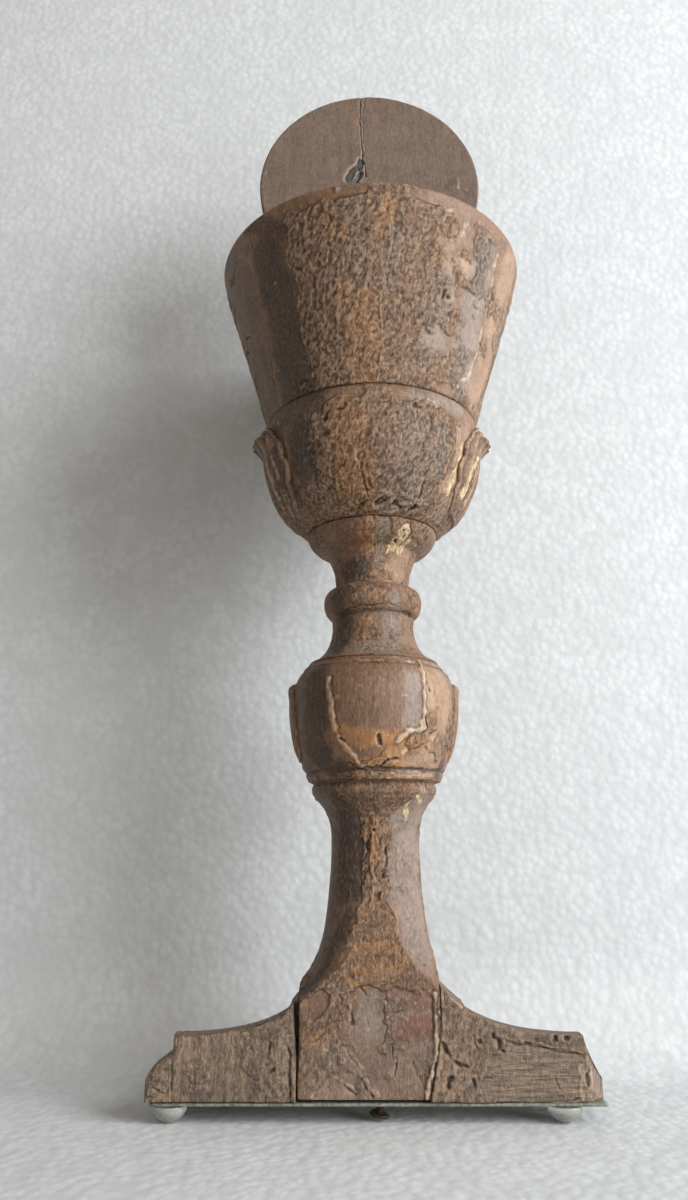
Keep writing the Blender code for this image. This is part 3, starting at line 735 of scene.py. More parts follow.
def make_leaves():
    calyx_bed = np.vstack([curve(*CALYX_CURVE, 0.5), bulge(*CALYX_BAND, -58, 0, 0.4)])
    knop_bed = np.vstack([curve(*KNOP_LOW, 0.5), curve(*KNOP_HIGH, 0.5)])
    for number, side in enumerate(SIDES):
        middle = 90 * SIDES[side]
        calyx_marks = {
            "pale": [
                (1.5, 0.9, (middle - 14 * SIDES[side], 198), (middle - 10 * SIDES[side], 219)),
                (1.0, 0.8, (middle + 2, 200), (middle + 3, 222)),
            ],
            "gold": [(1.6, 0.8 if side == "right" else 0.1, (middle - 22, 199), (middle - 18, 214))],
            # Only the left leaf, on the side away from the key light, is darkened: painted shade.
            "dark": [(3.0, 0.9 if side == "left" else 0.0, (middle + 20, 200), (middle + 22, 214))],
            "grime_and_shade": [(4.0, 0.9 if side == "left" else 0.1, (middle, 205), (middle, 225))],
        }
        surface = leaf_surface(side, calyx_bed, (193.0, 226.5), 23.0, 1.3, 1.9, 3, (120, 70))
        wear(surface, calyx_marks, seed=300 + 20 * number, crust=-0.05, rough=0.9, fleck=0.8)
        tint_flutes(surface, 0.8, 1.0)
        piece = loft(f"carved_leaf_calyx_{side}", surface)
        finished(piece, "chalice", "leaf_gilding", f"calyx_leaf_{side}")
        knop_marks = {
            "pale": [(0.8, 0.9, (middle - 24, 106), (middle - 25, 128))],
            # Only the left knop leaf, on the side away from the key light, is darkened: painted shade.
            "grime_and_shade": [(5.0, 0.8 if side == "left" else 0.1, (middle, 108), (middle, 128))],
            "tan": [(5.0, 0.8 if side == "right" else 0.1, (middle, 108), (middle, 128))],
        }
        surface = leaf_surface(side, knop_bed, (104.0, 131.0), 9.5, 0.75, 0.3, 2, (80, 40))
        wear(surface, knop_marks, seed=350 + 20 * number, crust=-0.2, rough=0.6, fleck=0.5)
        tint_flutes(surface, 0.7, 0.8)
        piece = loft(f"carved_leaf_knop_{side}", surface)
        finished(piece, "chalice", "leaf_gilding", f"knop_leaf_{side}")


# ---- neck ----
def make_neck():
    base = KNOP_TOP + 0.08
    outline = outline_of(
        (line((0.4, 122.0), (8.0, 122.0), (8.0, base), (22.9, base), spacing=4.0), 0.0),
        (bulge((22.4, base + 0.5), (0.9, 0.5), -60, 70, 0.25), 0.5),
        (curve((22.2, base + 1.1), (18.6, 140.8), (15.2, 145.5), (14.8, 152.0), 0.40), 1.0),
        (line((14.8, 152.0), (15.0, 155.0), (14.6, 155.7), spacing=0.40), 0.9),
        (bulge((14.6, 161.3), (3.3, 5.2), -82, 82, 0.40), 0.9),
        (line((14.4, 166.7), (13.6, 167.2), spacing=0.35), 0.8),
        (curve((13.6, 167.2), (12.9, 171.5), (14.8, 176.0), (16.3, 179.8), 0.40), 0.9),
        (curve((17.0, 180.4), (20.0, 181.4), (24.2, 184.6), (24.1, NECK_TOP - 0.4), 0.40), 1.0),
        (line((23.4, NECK_TOP), (9.0, NECK_TOP), (9.0, 203.0), (0.4, 203.0), spacing=4.0), 0.0),
    )
    surface = turned(outline, 260, 90)
    marks = {
        "gold": [
            (2.0, 1.0, (27, 180), (29, 185)), (1.0, 0.9, (20, 178)), (0.9, 0.9, (35, 178.5), (38, 181)),
            (0.7, 0.8, (53, 181)),
        ],
        "pit": [
            (0.45, 1.0, (25, 181)), (0.40, 1.0, (31, 182.5)), (0.35, 1.0, (28, 184)), (0.6, 0.9, (-56, 150)),
        ],
        "ochre": [
            (3.2, 1.0, (-10, 177), (-6, 186)), (0.9, 0.9, (-10, 170.2), (12, 170.6), (28, 168.8)),
            (2.0, 0.9, (-4, 160), (8, 162)), (1.8, 0.8, (-15, 143), (-14, 152)),
        ],
        "red": [(5.0, 0.8, (-28, 176), (-24, 186))],
        "crack": [
            (0.35, 0.9, (1, 179), (0, 187)), (0.20, 0.9, (-30, 157.2), (15, 158.0), (45, 156.0), (70, 155.5)),
        ],
        "bare": [(2.4, 0.8, (9, 174), (9, 186)), (3.0, 0.8, (-20, 142), (20, 142))],
        # The dark marks lie mostly on the left and at the back, away from the key light: partly dark paint,
        # partly painted shade.
        "dark": [
            (4.5, 1.0, (-42, 171.5), (-20, 173)), (1.8, 0.8, (-10, 173), (3, 177)),
            (3.0, 0.9, (-55, 160), (-38, 162)), (5.0, 0.9, (-48, 142), (-46, 156)),
            (4.0, 0.8, (-140, 146), (-130, 176)),
        ],
        "ridge": [(0.35, 0.9, (-24, 175.2), (-8, 177.5), (2, 179.2))],
        "tan": [(4.5, 0.8, (34, 170), (45, 177))],
        "grey": [
            (1.8, 1.0, (22, 161), (26, 160)), (4.5, 0.8, (26, 146), (22, 154)),
            (4.0, 0.8, (130, 150), (150, 178)),
        ],
        "pale": [(0.7, 0.8, (30, 162), (34, 159.5))],
    }
    grain, bare_grain = (0.9, 0.9, 12.0), (0.6, 0.6, 9.0)
    wear(surface, marks, seed=400, crust=0.10, rough=0.9, grain=grain, bare_grain=bare_grain, fleck=0.6)
    return finished(loft("chalice_neck", surface), "chalice", "neck_gilding", "neck")


# ---- knop ----
def make_knop():
    outline = outline_of(
        (line((0.4, 113.3), (9.3, 113.3), (9.3, 96.9), (22.3, 96.9), spacing=4.0), 0.0),
        (curve(*KNOP_LOW, 0.40), 1.0),
        (curve(*KNOP_HIGH, 0.40), 1.0),
        (line((24.1, KNOP_TOP - 0.5), (23.6, KNOP_TOP), spacing=0.3), 0.4),
        (line((22.0, KNOP_TOP), (8.3, KNOP_TOP), (8.3, 121.7), (0.4, 121.7), spacing=4.0), 0.0),
    )
    for crease, width, depth in ((100.2, 0.55, 0.55), (135.4, 0.40, 0.25)):
        outline[0][:, 0] -= depth * outline[1] * np.exp(-(((outline[0][:, 1] - crease) / width) ** 2))
    surface = turned(outline, 320, 100)
    flake = [(-34, 130), (-32, 119), (-29, 112), (-22, 107), (-14, 102), (-5, 99)]
    cream = [(37, 136), (34, 128), (33, 120), (33, 114), (28, 112.5), (22, 112.5), (14, 108.5)]
    marks = {
        "smooth": [(11.0, 1.0, (-6, 114), (0, 132), (14, 126)), (4.0, 1.0, (-70, 134), (70, 134))],
        # The thin rings at heights 100.2 and 135.4 darken the creases: painted shade. The other darkening on
        # the left and at the back lies away from the key light: partly dark paint, partly painted shade.
        "grime_and_shade": [
            (8.0, 0.35, (-8, 114), (0, 130), (12, 126)), (6.0, 0.9, (-68, 104), (-68, 132)),
            (0.5, 0.9, (-88, 135.4), (88, 135.4)),
        ],
        "dark": [
            (6.0, 1.0, (-46, 106), (-45, 131)), (3.0, 0.9, (-40, 100), (-24, 101)),
            (0.6, 1.0, (-85, 100.2), (85, 100.2)), (2.2, 0.8, (64, 99), (62, 106)),
            (7.0, 0.9, (-150, 108), (-150, 128)),
        ],
        "ridge": [
            (0.7, 1.0, *flake), (0.6, 1.0, *cream), (0.6, 0.6, (-60, 98.2), (60, 98.2)),
            (0.30, 0.7, (-88, 136.4), (88, 136.4)),
        ],
        "ochre": [
            (1.8, 0.9, *flake[1:]), (3.6, 0.9, (-14, 100), (0, 101), (12, 104)),
            (1.6, 0.9, (4, 108), (10, 106)), (3.0, 0.9, (175, 102), (-178, 118)),
        ],
        "tan": [
            (1.2, 0.8, *flake), (7.5, 0.9, (50, 106), (50, 130)), (3.5, 0.9, (22, 101), (38, 102)),
            (1.0, 0.9, (-10, 98), (50, 98)),
        ],
        "crack": [
            (0.18, 0.8, (-31, 131), (-29, 120), (-26, 113)), (0.30, 1.0, (38, 136), (37, 130), (39, 126)),
            (0.40, 1.0, (8, 102.8), (17, 103.4)), (0.35, 0.9, (-24, 103.5), (-13, 100)),
        ],
        "grey": [(3.4, 1.0, (24, 114), (25, 130)), (7.0, 0.9, (140, 110), (146, 128))],
        "pale": [
            (1.0, 1.0, *cream), (3.0, 0.35, (34, 104), (44, 112)), (1.0, 0.9, (20, 106), (28, 108)),
            (0.5, 1.0, (54, 108)),
        ],
        "pit": [
            (0.5, 0.9, (1, 111), (2.5, 107.5)), (0.6, 0.9, (3, 101), (8, 102.6)),
            (0.35, 0.9, (-25, 110), (-23, 109)),
        ],
    }
    wear(surface, marks, seed=500, crust=0.06, rough=1.0, grain=(0.7, 0.7, 14.0), fleck=0.7)
    return finished(loft("chalice_knop", surface), "chalice", "knop_gilding", "knop")


# ---- stem and centre block ----
JOINT_FOOT = 3.8  # how far the right joint slants inwards, down to the wood's underside
JOINT_KNEE = 18.0  # height at which its slant starts


def joint_shift(height):
    """Inward shift of the right joint at a height."""
    return JOINT_FOOT * np.clip(1 - height / JOINT_KNEE, 0, 1) ** 0.8


def worn_least(first, second, rounding):
    """The smaller of two lengths, rounded where they meet as an edge that has worn."""
    part = np.clip(0.5 + 0.5 * (second - first) / rounding, 0, 1)
    return second * (1 - part) + first * part - rounding * part * (1 - part)


def make_stem():
    outline = outline_of(
        (line((0.4, 0.8), (29.0, 0.8), spacing=5.0), 0.0),
        (line((30.0, 0.9), (30.0, 28.0), spacing=0.45), 1.0),
        (curve((30.0, 28.0), (25.0, 31.5), (20.0, 37.0), (18.2, 44.5), 0.40), 1.0),
        (curve((18.2, 44.5), (16.6, 52.0), (15.2, 62.0), (15.1, 74.0), 0.42), 1.0),
        (line((15.1, 74.0), (15.1, 78.0), spacing=0.42), 1.0),
        (curve((15.1, 78.0), (15.1, 84.0), (17.2, 88.5), (20.6, 91.5), 0.40), 1.0),
        (bulge((20.3, 94.2), (1.4, 2.1), -70, 62, 0.35), 0.8),
        (line((21.1, 96.3), (22.3, 96.75), spacing=0.35), 0.3),
        (line((21.5, 96.85), (9.0, 96.85), (9.0, 113.0), (0.4, 113.0), spacing=5.0), 0.0),
    )
    surface = turned(outline, 292, 84)
    points = surface.points
    angle = np.radians(surface.across)
    radius = np.hypot(points[..., 0], points[..., 1])
    height = points[..., 2]
    sine, cosine = np.sin(angle), np.cos(angle)
    right = BLOCK_RIGHT - joint_shift(height)
    side_limit = np.where(sine > 0, right, -BLOCK_LEFT) / np.maximum(np.abs(sine), 1e-3)
    depth_limit = np.where(cosine > 0, -FOOT_FRONT, FOOT_BACK) / np.maximum(np.abs(cosine), 1e-3)
    box = worn_least(side_limit, depth_limit, 0.5)
    cut = np.where((height < BLOCK_TOP) & (radius > 1), worn_least(radius, box, 0.7), radius)
    points[..., 0] = cut * sine
    points[..., 1] = -cut * cosine
    flat = smooth_step(radius - depth_limit, 0.0, 1.0) * (cosine > 0)
    surface.normals = normals_of(points)
    inner = surface.relief == 0
    surface.normals[inner] = 0
    across = np.where(flat > 0.5, points[..., 0], OFF_FACE)
    panel = Surface(points, surface.normals, across, height, np.ones_like(height), surface.relief)
    shaft = {
        # The dark marks, and the darkening at -66 and -140 degrees below, lie on the left and at the back,
        # away from the key light: partly dark paint, partly painted shade.
        "dark": [
            (4.5, 1.0, (-40, 62), (-36, 92)), (2.6, 0.9, (-26, 60), (-22, 76)),
            (2.5, 0.9, (-52, 42), (-34, 54)), (1.6, 1.0, (-66, 30), (-52, 40)),
        ],
        "grime_and_shade": [(7.0, 0.9, (-66, 40), (-64, 92)), (5.0, 0.8, (-140, 50), (-150, 84))],
        "crust": [(4.5, 1.0, (-5, 92), (-4, 72), (-2, 50))],
        "ochre": [
            (2.0, 1.0, (-6, 90), (-5, 76), (-5, 66), (-3, 57)), (4.5, 1.0, (-12, 48), (0, 54), (13, 47)),
            (1.6, 0.9, (-30, 94), (10, 94)), (3.0, 0.9, (175, 48), (178, 84)),
        ],
        "tan": [
            (1.6, 1.0, (-6, 68), (-4, 60), (-1, 54)), (3.0, 0.8, (24, 56), (22, 48)),
            (2.0, 0.9, (44, 86), (56, 91)), (1.5, 0.8, (10, 94.0), (50, 94.0)),
        ],
        "ridge": [
            (0.6, 1.0, (-2, 84), (-7, 75), (-4, 66), (-6, 58), (-14, 50)),
            (0.5, 0.9, (3, 62), (0, 56), (6, 50)), (0.4, 0.8, (-16, 90), (-14, 80), (-17, 70)),
            (0.4, 0.7, (29, 58), (27, 74)),
        ],
        "pit": [
            (0.5, 0.5, (-12, 75), (-8, 79)), (0.45, 0.6, (8, 66), (13, 70), (11, 75)),
            (0.4, 0.6, (3, 76), (6, 78)), (0.4, 0.5, (-16, 64), (-14, 69)), (0.5, 1.0, (-3, 81)),
            (0.5, 0.9, (2, 59), (4, 61)),
        ],
        "grey": [
            (3.0, 0.9, (21, 84), (24, 91)), (9.0, 0.9, (48, 46), (48, 86)), (5.0, 0.8, (140, 52), (130, 84)),
        ],
        "gold": [
            (0.9, 0.9, (25, 93), (32, 90), (38, 85)), (0.7, 0.9, (42, 92), (54, 90)),
            (0.7, 0.9, (8, 96.2), (44, 96.2)),
        ],
        "pale": [
            (0.8, 0.9, (-30, 96.4), (10, 96.4)), (0.45, 1.0, (38, 48)), (0.40, 1.0, (36, 51)),
            (0.35, 1.0, (37, 54)), (0.30, 1.0, (40, 46)),
        ],
    }
    front = {
        "smooth": [(4.8, 1.0, (-3, 21), (-3, 28.5)), (3.4, 0.9, (8, 21.5), (15, 21.5))],
        "ochre": [
            (2.6, 1.0, (-1.5, 38), (4, 37.5)), (1.2, 0.9, (-7, 34), (-10, 35.5)),
            (1.8, 1.0, (-5, 44), (4, 44.5)), (1.4, 0.9, (7, 44), (9.5, 40)), (2.0, 0.8, (-6, 38), (6, 39)),
            (1.6, 1.0, (-20.5, 18.4), (-18.6, 17)), (1.2, 0.9, (-16.6, 15.6), (-15.6, 17.8)),
            (1.0, 0.7, (-22, 11)),
        ],
        "tan": [(1.5, 0.9, (1, 38), (3, 36)), (4.0, 0.6, (-18, 5), (-10, 3)), (3.0, 0.6, (9, 5), (15, 4))],
        "red": [
            (6.0, 0.5, (9, 33), (13, 28)), (3.4, 1.0, (7, 20.5), (17, 21)), (2.2, 0.8, (10, 27.5), (16, 27)),
            (2.4, 0.7, (-20, 25), (-18, 29)),
        ],
        "grey": [(16.0, 0.62, (-8, 8), (8, 18)), (4.0, 1.0, (-3, 21.5), (-3, 28.5))],
        "grime_and_shade": [
            (10.0, 0.45, (-8, 5), (12, 7)), (5.0, 0.5, (10, 12), (15, 10)), (6.0, 0.5, (-18, 26), (-12, 30)),
        ],
        "pale": [
            (3.0, 0.35, (-16, 10), (-12, 12)), (2.0, 0.45, (-20, 14), (-18, 17)),
            (0.42, 1.0, (18.2, 31), (18.3, 20), (17.9, 15.5), (16.5, 8), (14.6, 1)),
            (0.55, 1.0, (14.5, 38.2), (17.8, 35.6), (19.0, 33.2)), (0.40, 1.0, (2.6, 28.4), (3.2, 26.8)),
            (0.40, 0.8, (5, 25.5), (9, 23.6)), (0.35, 1.0, (-8.0, 12.6), (-6.4, 11.2), (-5.0, 9.6)),
            (0.50, 0.95, (-19, 9.0), (-16, 8.6), (-13, 7.4), (-11, 6.0), (-9.2, 5.2), (-7.6, 2.8)),
            (0.65, 0.95, (-3.6, 6.6), (-2.4, 4.2), (-0.8, 2.8)), (0.60, 0.95, (-1.4, 3.9), (0.3, 2.2)),
            (0.45, 0.9, (-19.4, 14.6), (-16.4, 14.8)),
        ],
        "ridge": [
            (0.45, 1.0, (18.2, 31), (18.3, 20), (17.9, 15.5), (16.5, 8), (14.6, 1)),
            (0.50, 1.0, (14.5, 38.2), (17.8, 35.6), (19.0, 33.2)),
            (0.25, 0.6, (-9.6, 22), (-8.6, 28), (-5, 32.4), (-1, 33.0)),
        ],
        "crack": [
            (0.16, 0.9, (17.4, 30), (17.5, 20), (17.1, 15.5), (15.7, 8)),
            (0.35, 0.9, (-8.4, 25.2), (-8.0, 22.6)), (0.35, 0.9, (-5.2, 32.4), (-3.6, 30.4)),
            (0.35, 0.9, (-12.2, 30.6), (-11.4, 29.4)), (0.22, 0.9, (-13.2, 19.8), (-12.0, 17.2), (-10.4, 15)),
            (0.28, 0.8, (-10.4, 15), (-8.6, 12.8), (-6.4, 10.6)),
            (0.35, 1.0, (-10.6, 5.4), (-8.6, 3.2), (-6.8, 1.8)),
            (0.26, 0.9, (-5.0, 6.8), (-4.0, 4.4), (-2.0, 1.6)), (0.16, 0.9, (3.8, 15.5), (4.6, 10.5)),
            (0.16, 0.9, (5.2, 12.5), (5.0, 7.5), (6.2, 3.0)),
            (0.16, 0.9, (10.6, 11.5), (13.0, 7.0), (15.2, 2.6)),
        ],
        "pit": [(0.5, 0.9, (-19.2, 17.6), (-17.6, 19.2))],
        "crust": [(5.0, 0.5, (-22, 10), (-20, 20)), (6.0, 0.4, (-10, 36), (10, 38))],
    }
    wear(surface, shaft, seed=600, crust=0.05, rough=1.3, grain=(0.9, 0.9, 12.0), fleck=0.5)
    shaft_masks, shaft_points = surface.masks, surface.points
    wear(panel, front, seed=640, crust=0.42, rough=0.70, grain=(0.9, 0.9, 10.0), fleck=0.8)
    for kind in shaft_masks:
        shaft_masks[kind] = shaft_masks[kind] * (1 - flat) + panel.masks[kind] * flat
    surface.points = shaft_points * (1 - flat[..., None]) + panel.points * flat[..., None]
    return finished(loft("chalice_stem", surface), "chalice", "stem_gilding", "stem")


# ---- foot wings ----
WING_HOLLOW = (63.7, 18.9), (38.0, 19.0), (27.0, 25.0), (19.2, 33.5)
BOARD_DEPTH = 6.0


def wing_top(reach):
    """Height of the wing's moulded top at distances from the axis."""
    hollow = curve(*WING_HOLLOW, 0.2)[::-1]
    ovolo = curve((63.9, 14.0), (67.5, 12.2), (71.3, 9.3), (FOOT_REACH, 6.5), 0.2)
    return np.where(
        reach < 63.8,
        np.interp(reach, hollow[:, 0], hollow[:, 1]),
        np.interp(reach, ovolo[:, 0], ovolo[:, 1]),
    )


def board_surface(side, start, reach, top, front, back, counts=(64, 16, 26, 8)):
    """A board across the front of the foot, as loops round its section at each distance from the axis."""
    loops = []
    for x, ceiling, near, far in zip(reach, top, front, back):
        up, over, down, under = (np.linspace(0, 1, count, endpoint=False) for count in counts)
        section = np.concatenate(
            [
                np.stack([near + 0 * up, ceiling * up], 1),
                np.stack([near + (far - near) * over, ceiling + 0 * over], 1),
                np.stack([far + 0 * down, ceiling * (1 - down)], 1),
                np.stack([far + (near - far) * under, 0 * under], 1),
            ]
        )
        for _ in range(2):
            section = (np.roll(section, 1, 0) + 2 * section + np.roll(section, -1, 0)) / 4
        fade = max(0.0, 1 - (x - start) / 6)
        slant = joint_shift(section[:, 1]) * fade if side == "right" else 0 * section[:, 1]
        loops.append(np.stack([SIDES[side] * (x - slant), section[:, 0], section[:, 1]], 1))
    points = np.array(loops)
    if side == "right":
        points = points[:, ::-1]
    normals = normals_of(points)
    middle = points.mean(axis=1, keepdims=True)
    outward = ((points - middle) * normals).sum(axis=-1).mean()
    if outward < 0:
        points = points[:, ::-1]
        normals = normals_of(points)
    facing = normals[..., 1] < -0.3
    across = np.where(facing, points[..., 0], OFF_FACE)
    ones = np.ones(points.shape[:2])
    return Surface(points, normals, across, points[..., 2], ones, ones)


def columns_between(start, end, step):
    return np.linspace(start, end, int((end - start) / step) + 2)


def shade_upward_faces(surface, amount):
    """Painted shade on the faces that look up."""
    deepen(surface, "grime_and_shade", amount * smooth_step(surface.normals[..., 2], 0.35, 0.7))


def make_left_wing():
    start = -BLOCK_LEFT + 0.3
    inner, outer = columns_between(start, 63.7, 0.42), columns_between(64.2, FOOT_REACH, 0.42)
    reach = np.concatenate([inner, [63.9], outer])
    top = wing_top(reach)
    depth = np.full(len(reach), FOOT_FRONT)
    surface = board_surface("left", start, reach, top, depth, depth + BOARD_DEPTH)
    height = surface.points[..., 2]
    near = np.clip(1 - (np.abs(surface.points[..., 0]) - start) / 4, 0, 1)
    surface.points[..., 0] -= near * (0.35 + 1.1 * smooth_step(height, 13.0, 16.0))
    marks = {
        "dark": [
            (1.9, 0.6, (-60, 3.2), (-53, 1.8)), (0.7, 0.8, (-56.2, 18.2), (-55.6, 17.4)),
            # These two thin dark lines run along the board's left end and along the top of its moulding:
            # painted shade at those edges.
            (0.45, 0.9, (-72.2, 1), (-71.8, 6.5), (-68, 11.6), (-64.6, 13.6)),
            (0.35, 0.9, (-63.6, 14.5), (-63.5, 18.5), (-52, 19.6), (-40, 21), (-30, 25)),
        ],
        "pit": [(0.45, 0.9, (-33.4, 8.4), (-32.6, 8.9)), (0.40, 0.9, (-34.2, 13.5), (-33.8, 16.5))],
        "crack": [
            (0.30, 1.0, (-69.8, 4.2), (-68.0, 3.4)), (0.20, 0.9, (-63.9, 18.4), (-64.0, 3.0)),
            (0.15, 0.8, (-63.2, 17.8), (-63.4, 8.0)),
            (0.40, 1.0, (-27.6, 14.5), (-27.2, 8), (-27.0, 4), (-26.8, 0.5)),
        ],
        "ochre": [(2.6, 0.6, (-44, 20), (-36, 21))],
        "tan": [(1.2, 0.8, (-70, 1.4), (-67.6, 1.6))],
        "pale": [(0.40, 0.8, (-66.4, 2.2))],
        "crust": [(8.0, 0.4, (-34, 12), (-30, 22)), (4.0, 0.6, (-69, 4))],
        "grime_and_shade": [(4.0, 0.6, (-50, 4), (-40, 3))],
    }
    wear(surface, marks, seed=700, crust=-0.10, rough=0.7, grain=(0.55, 0.9, 5.5), fleck=0.5)
    shade_upward_faces(surface, 0.9)
    stripes = noise(surface.points, (0.75, 3.0, 9.0), 733)
    stripes = stripes + 0.6 * noise(surface.points, (0.45, 3.0, 5.0), 734)
    surface.points += surface.normals * (0.10 * stripes)[..., None]
    # The striations also darken and lighten through the relief mask: painted shade and painted highlight.
    surface.masks["relief_shade_and_highlight"] = np.clip(surface.masks["relief_shade_and_highlight"] + 0.5 * stripes, -1, 1)
    piece = loft("foot_board_left", surface)
    return finished(piece, "chalice", "foot_wood", "foot_wing_left")


def make_right_wing():
    """The right wing's front has broken away: bare grain, and a chamfered, splintered end."""
    start = BLOCK_RIGHT + 0.3
    end = 70.4
    break_start = 64.0
    reach = np.concatenate([columns_between(start, 63.6, 0.42), columns_between(63.9, end, 0.30)])
    broken = np.clip((reach - break_start) / (end - break_start), 0, 1)
    top = np.where(reach < break_start, wing_top(np.minimum(reach, 63.7)), 18.6 - 13.4 * broken**0.72)
    front = FOOT_FRONT + (BOARD_DEPTH - 0.8) * np.clip((reach - 64.6) / (end - 64.6), 0, 1)
    back = np.full(len(reach), FOOT_FRONT + BOARD_DEPTH)
    surface = board_surface("right", start, reach, top, front, back)
    x, height = surface.points[..., 0], surface.points[..., 2]
    facing = surface.across < OFF_FACE
    boundary = 17.2 - 0.16 * (x - 44) + 0.5 * noise(surface.points, 2.5, 761)
    lost = smooth_step(x, 36.0, 44.0) * smooth_step(boundary - height, 0.0, 0.5) * facing
    surface.points[..., 1] += 0.55 * lost
    marks = {
        "crack": [
            (0.50, 1.0, (20, 16.2), (22, 12.8), (25, 10.6), (27.5, 10)),
            (0.50, 1.0, (36, 18.2), (38.2, 16.8), (37.8, 15.2), (39.2, 14)),
            (0.35, 0.9, (30, 19), (31, 15), (29.4, 12)), (0.25, 0.9, (42, 16.6), (52, 15.2), (63, 13.4)),
            (0.18, 0.9, (55, 6.4), (56, 3.4)),
        ],
        "tan": [
            (1.8, 0.9, (20.6, 11.5), (21.8, 8.5)), (0.9, 1.0, (20.4, 32.4), (22, 31), (25, 28.0), (28, 25.8)),
            (7.0, 0.6, (24, 5), (26, 20)), (1.6, 0.7, (42, 15.2), (62, 11.8)),
            (1.6, 0.8, (21.5, 30), (26, 26), (31, 23.5)), (1.2, 0.9, (44.6, 18.8), (47, 17.6)),
        ],
        "pit": [
            (0.6, 1.0, (22.2, 6.4), (21.4, 4.4)), (0.5, 0.9, (31.5, 17.6), (32, 16.6)),
            (0.5, 0.9, (28.8, 6.2), (29.4, 4.8)), (0.6, 1.0, (55, 19), (55, 18)),
            (0.5, 1.0, (58.6, 18.8), (58.6, 18)), (0.4, 0.9, (46, 16.8), (47.2, 16.4)),
            (0.85, 1.0, (64.8, 8), (65.0, 5.4)), (0.8, 1.0, (60.4, 0.8), (61.2, 1.0)),
        ],
        "grey": [
            (1.6, 0.9, (26.6, 5.4), (28, 4.6)), (1.6, 0.7, (42, 10.2), (60, 9.4)),
            (3.2, 0.55, (33, 3.2), (54, 3.2)), (1.6, 0.9, (67.6, 10), (68.6, 3)),
        ],
        "pale": [
            (0.45, 1.0, (20.2, 32.8), (23, 29.8), (26.5, 26.8)),
            (0.50, 1.0, (20.3, 31), (20.3, 20), (19.8, 15.5), (18.4, 8), (16.5, 1)),
            (1.1, 0.9, (62.6, 9.6), (63.6, 6), (62.4, 2)), (0.5, 0.9, (65.8, 9.2), (66.4, 5), (65.2, 1.6)),
        ],
        "ochre": [(3.5, 0.5, (29, 12), (32, 16)), (1.1, 0.6, (46, 14.6), (58, 12.6))],
        "grime_and_shade": [(3.0, 0.5, (40, 3.0), (56, 4.0)), (1.5, 0.9, (46, 18.6), (63, 16.8))],
        "crust": [(11.0, 1.0, (24, 4), (27, 18)), (6.0, 1.0, (30, 20), (36, 18))],
        "bare": [
            (1.9, 1.0, (41, 15.5), (52, 13.6), (62, 11.4)), (3.0, 1.0, (37, 11), (50, 9.6), (63, 8.6)),
            (3.6, 1.0, (34, 4), (48, 3.5), (62, 3.5)),
        ],
        "dark": [(0.9, 0.8, (50, 17.6), (57, 16.9))],
    }
    grain, bare_grain = (0.55, 0.9, 5.5), (9.0, 1.2, 0.8)
    wear(surface, marks, seed=760, crust=-0.20, rough=1.0, grain=grain, bare_grain=bare_grain, fleck=0.4)
    shade_upward_faces(surface, 0.75)
    piece = loft("foot_board_right", surface)
    return finished(piece, "chalice", "foot_wood", "foot_wing_right")


def make_wing_backs():
    """The round root behind each board and the low ledge that runs out from it."""
    for side in SIDES:
        start = (BLOCK_RIGHT if side == "right" else -BLOCK_LEFT) + 0.3
        behind_board = FOOT_FRONT + BOARD_DEPTH - 0.6
        reach = columns_between(start, 27.9, 0.45)
        top = wing_top(reach)
        far = np.minimum(FOOT_BACK, np.sqrt(np.maximum(28.0**2 - reach**2, 1.0)))
        near = np.full(len(reach), behind_board)
        surface = board_surface(side, start, reach, top, near, far, (30, 40, 40, 10))
        marks = {"grime_and_shade": [(3.0, 0.6, (26, 10))]}
        wear(surface, marks, seed=800, crust=-0.1, rough=0.8, grain=(0.6, 0.6, 6.0))
        finished(loft(f"foot_root_{side}", surface), "chalice", "foot_wood")
        reach = columns_between(start + 0.4, 65.5, 0.6)
        flat = np.full(len(reach), 9.0)
        near, far = np.full(len(reach), behind_board), np.full(len(reach), FOOT_BACK)
        surface = board_surface(side, -50.0, reach, flat, near, far, (16, 44, 18, 16))
        wear(surface, {}, seed=830, crust=-0.2, rough=0.8, grain=(8.0, 0.7, 0.7))
        finished(loft(f"foot_ledge_{side}", surface), "chalice", "foot_wood")


# ---- sole, bumpers and nail ----
def make_sole():
    low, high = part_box("sole_plate")
    reach = columns_between(low.x / MM + 0.3, high.x / MM - 0.3, 1.0)
    base, thick = low.z / MM - WOOD_BASE, (high.z - low.z) / MM
    ragged = np.stack([reach, 0 * reach, 0 * reach], 1)
    front = low.y / MM + 0.25 + 0.3 * noise(ragged, 5.0, 901)
    back = high.y / MM - 0.25 - 0.3 * noise(ragged, 5.0, 902)
    surface = board_surface("right", -200.0, reach, np.full(len(reach), thick), front, back, (6, 30, 6, 30))
    surface.points[..., 2] += base
    return finished(loft("sole_card_plate", surface), "chalice", "sole_card", "sole_plate")


def stand_at(points, low, high):
    """Moves points sideways to the middle of a CAD box."""
    points[..., 0] += (low.x + high.x) / 2 / MM
    points[..., 1] += (low.y + high.y) / 2 / MM


def make_bumpers():
    for node in ("bumper_front_left", "bumper_front_right", "bumper_rear_left", "bumper_rear_right"):
        low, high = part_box(node)
        tall = (high.z - low.z) / MM
        wide = (high.x - low.x) / 2 / MM
        dome = bulge((0.0, tall), (wide, tall), -74, -4, 0.25)
        outline = outline_of(
            (line((0.3, 0.0), (1.5, 0.0), spacing=0.4), 0.0),
            (dome, 0.0),
            (line((wide - 0.05, tall - 0.1), (wide - 0.25, tall), (0.3, tall), spacing=0.6), 0.0),
        )
        surface = turned(outline, 48, 36)
        stand_at(surface.points, low, high)
        surface.points[..., 2] += low.z / MM - WOOD_BASE
        finished(loft("clear_dome_" + node[len("bumper_"):], surface), "chalice", "clear_bumper", node)


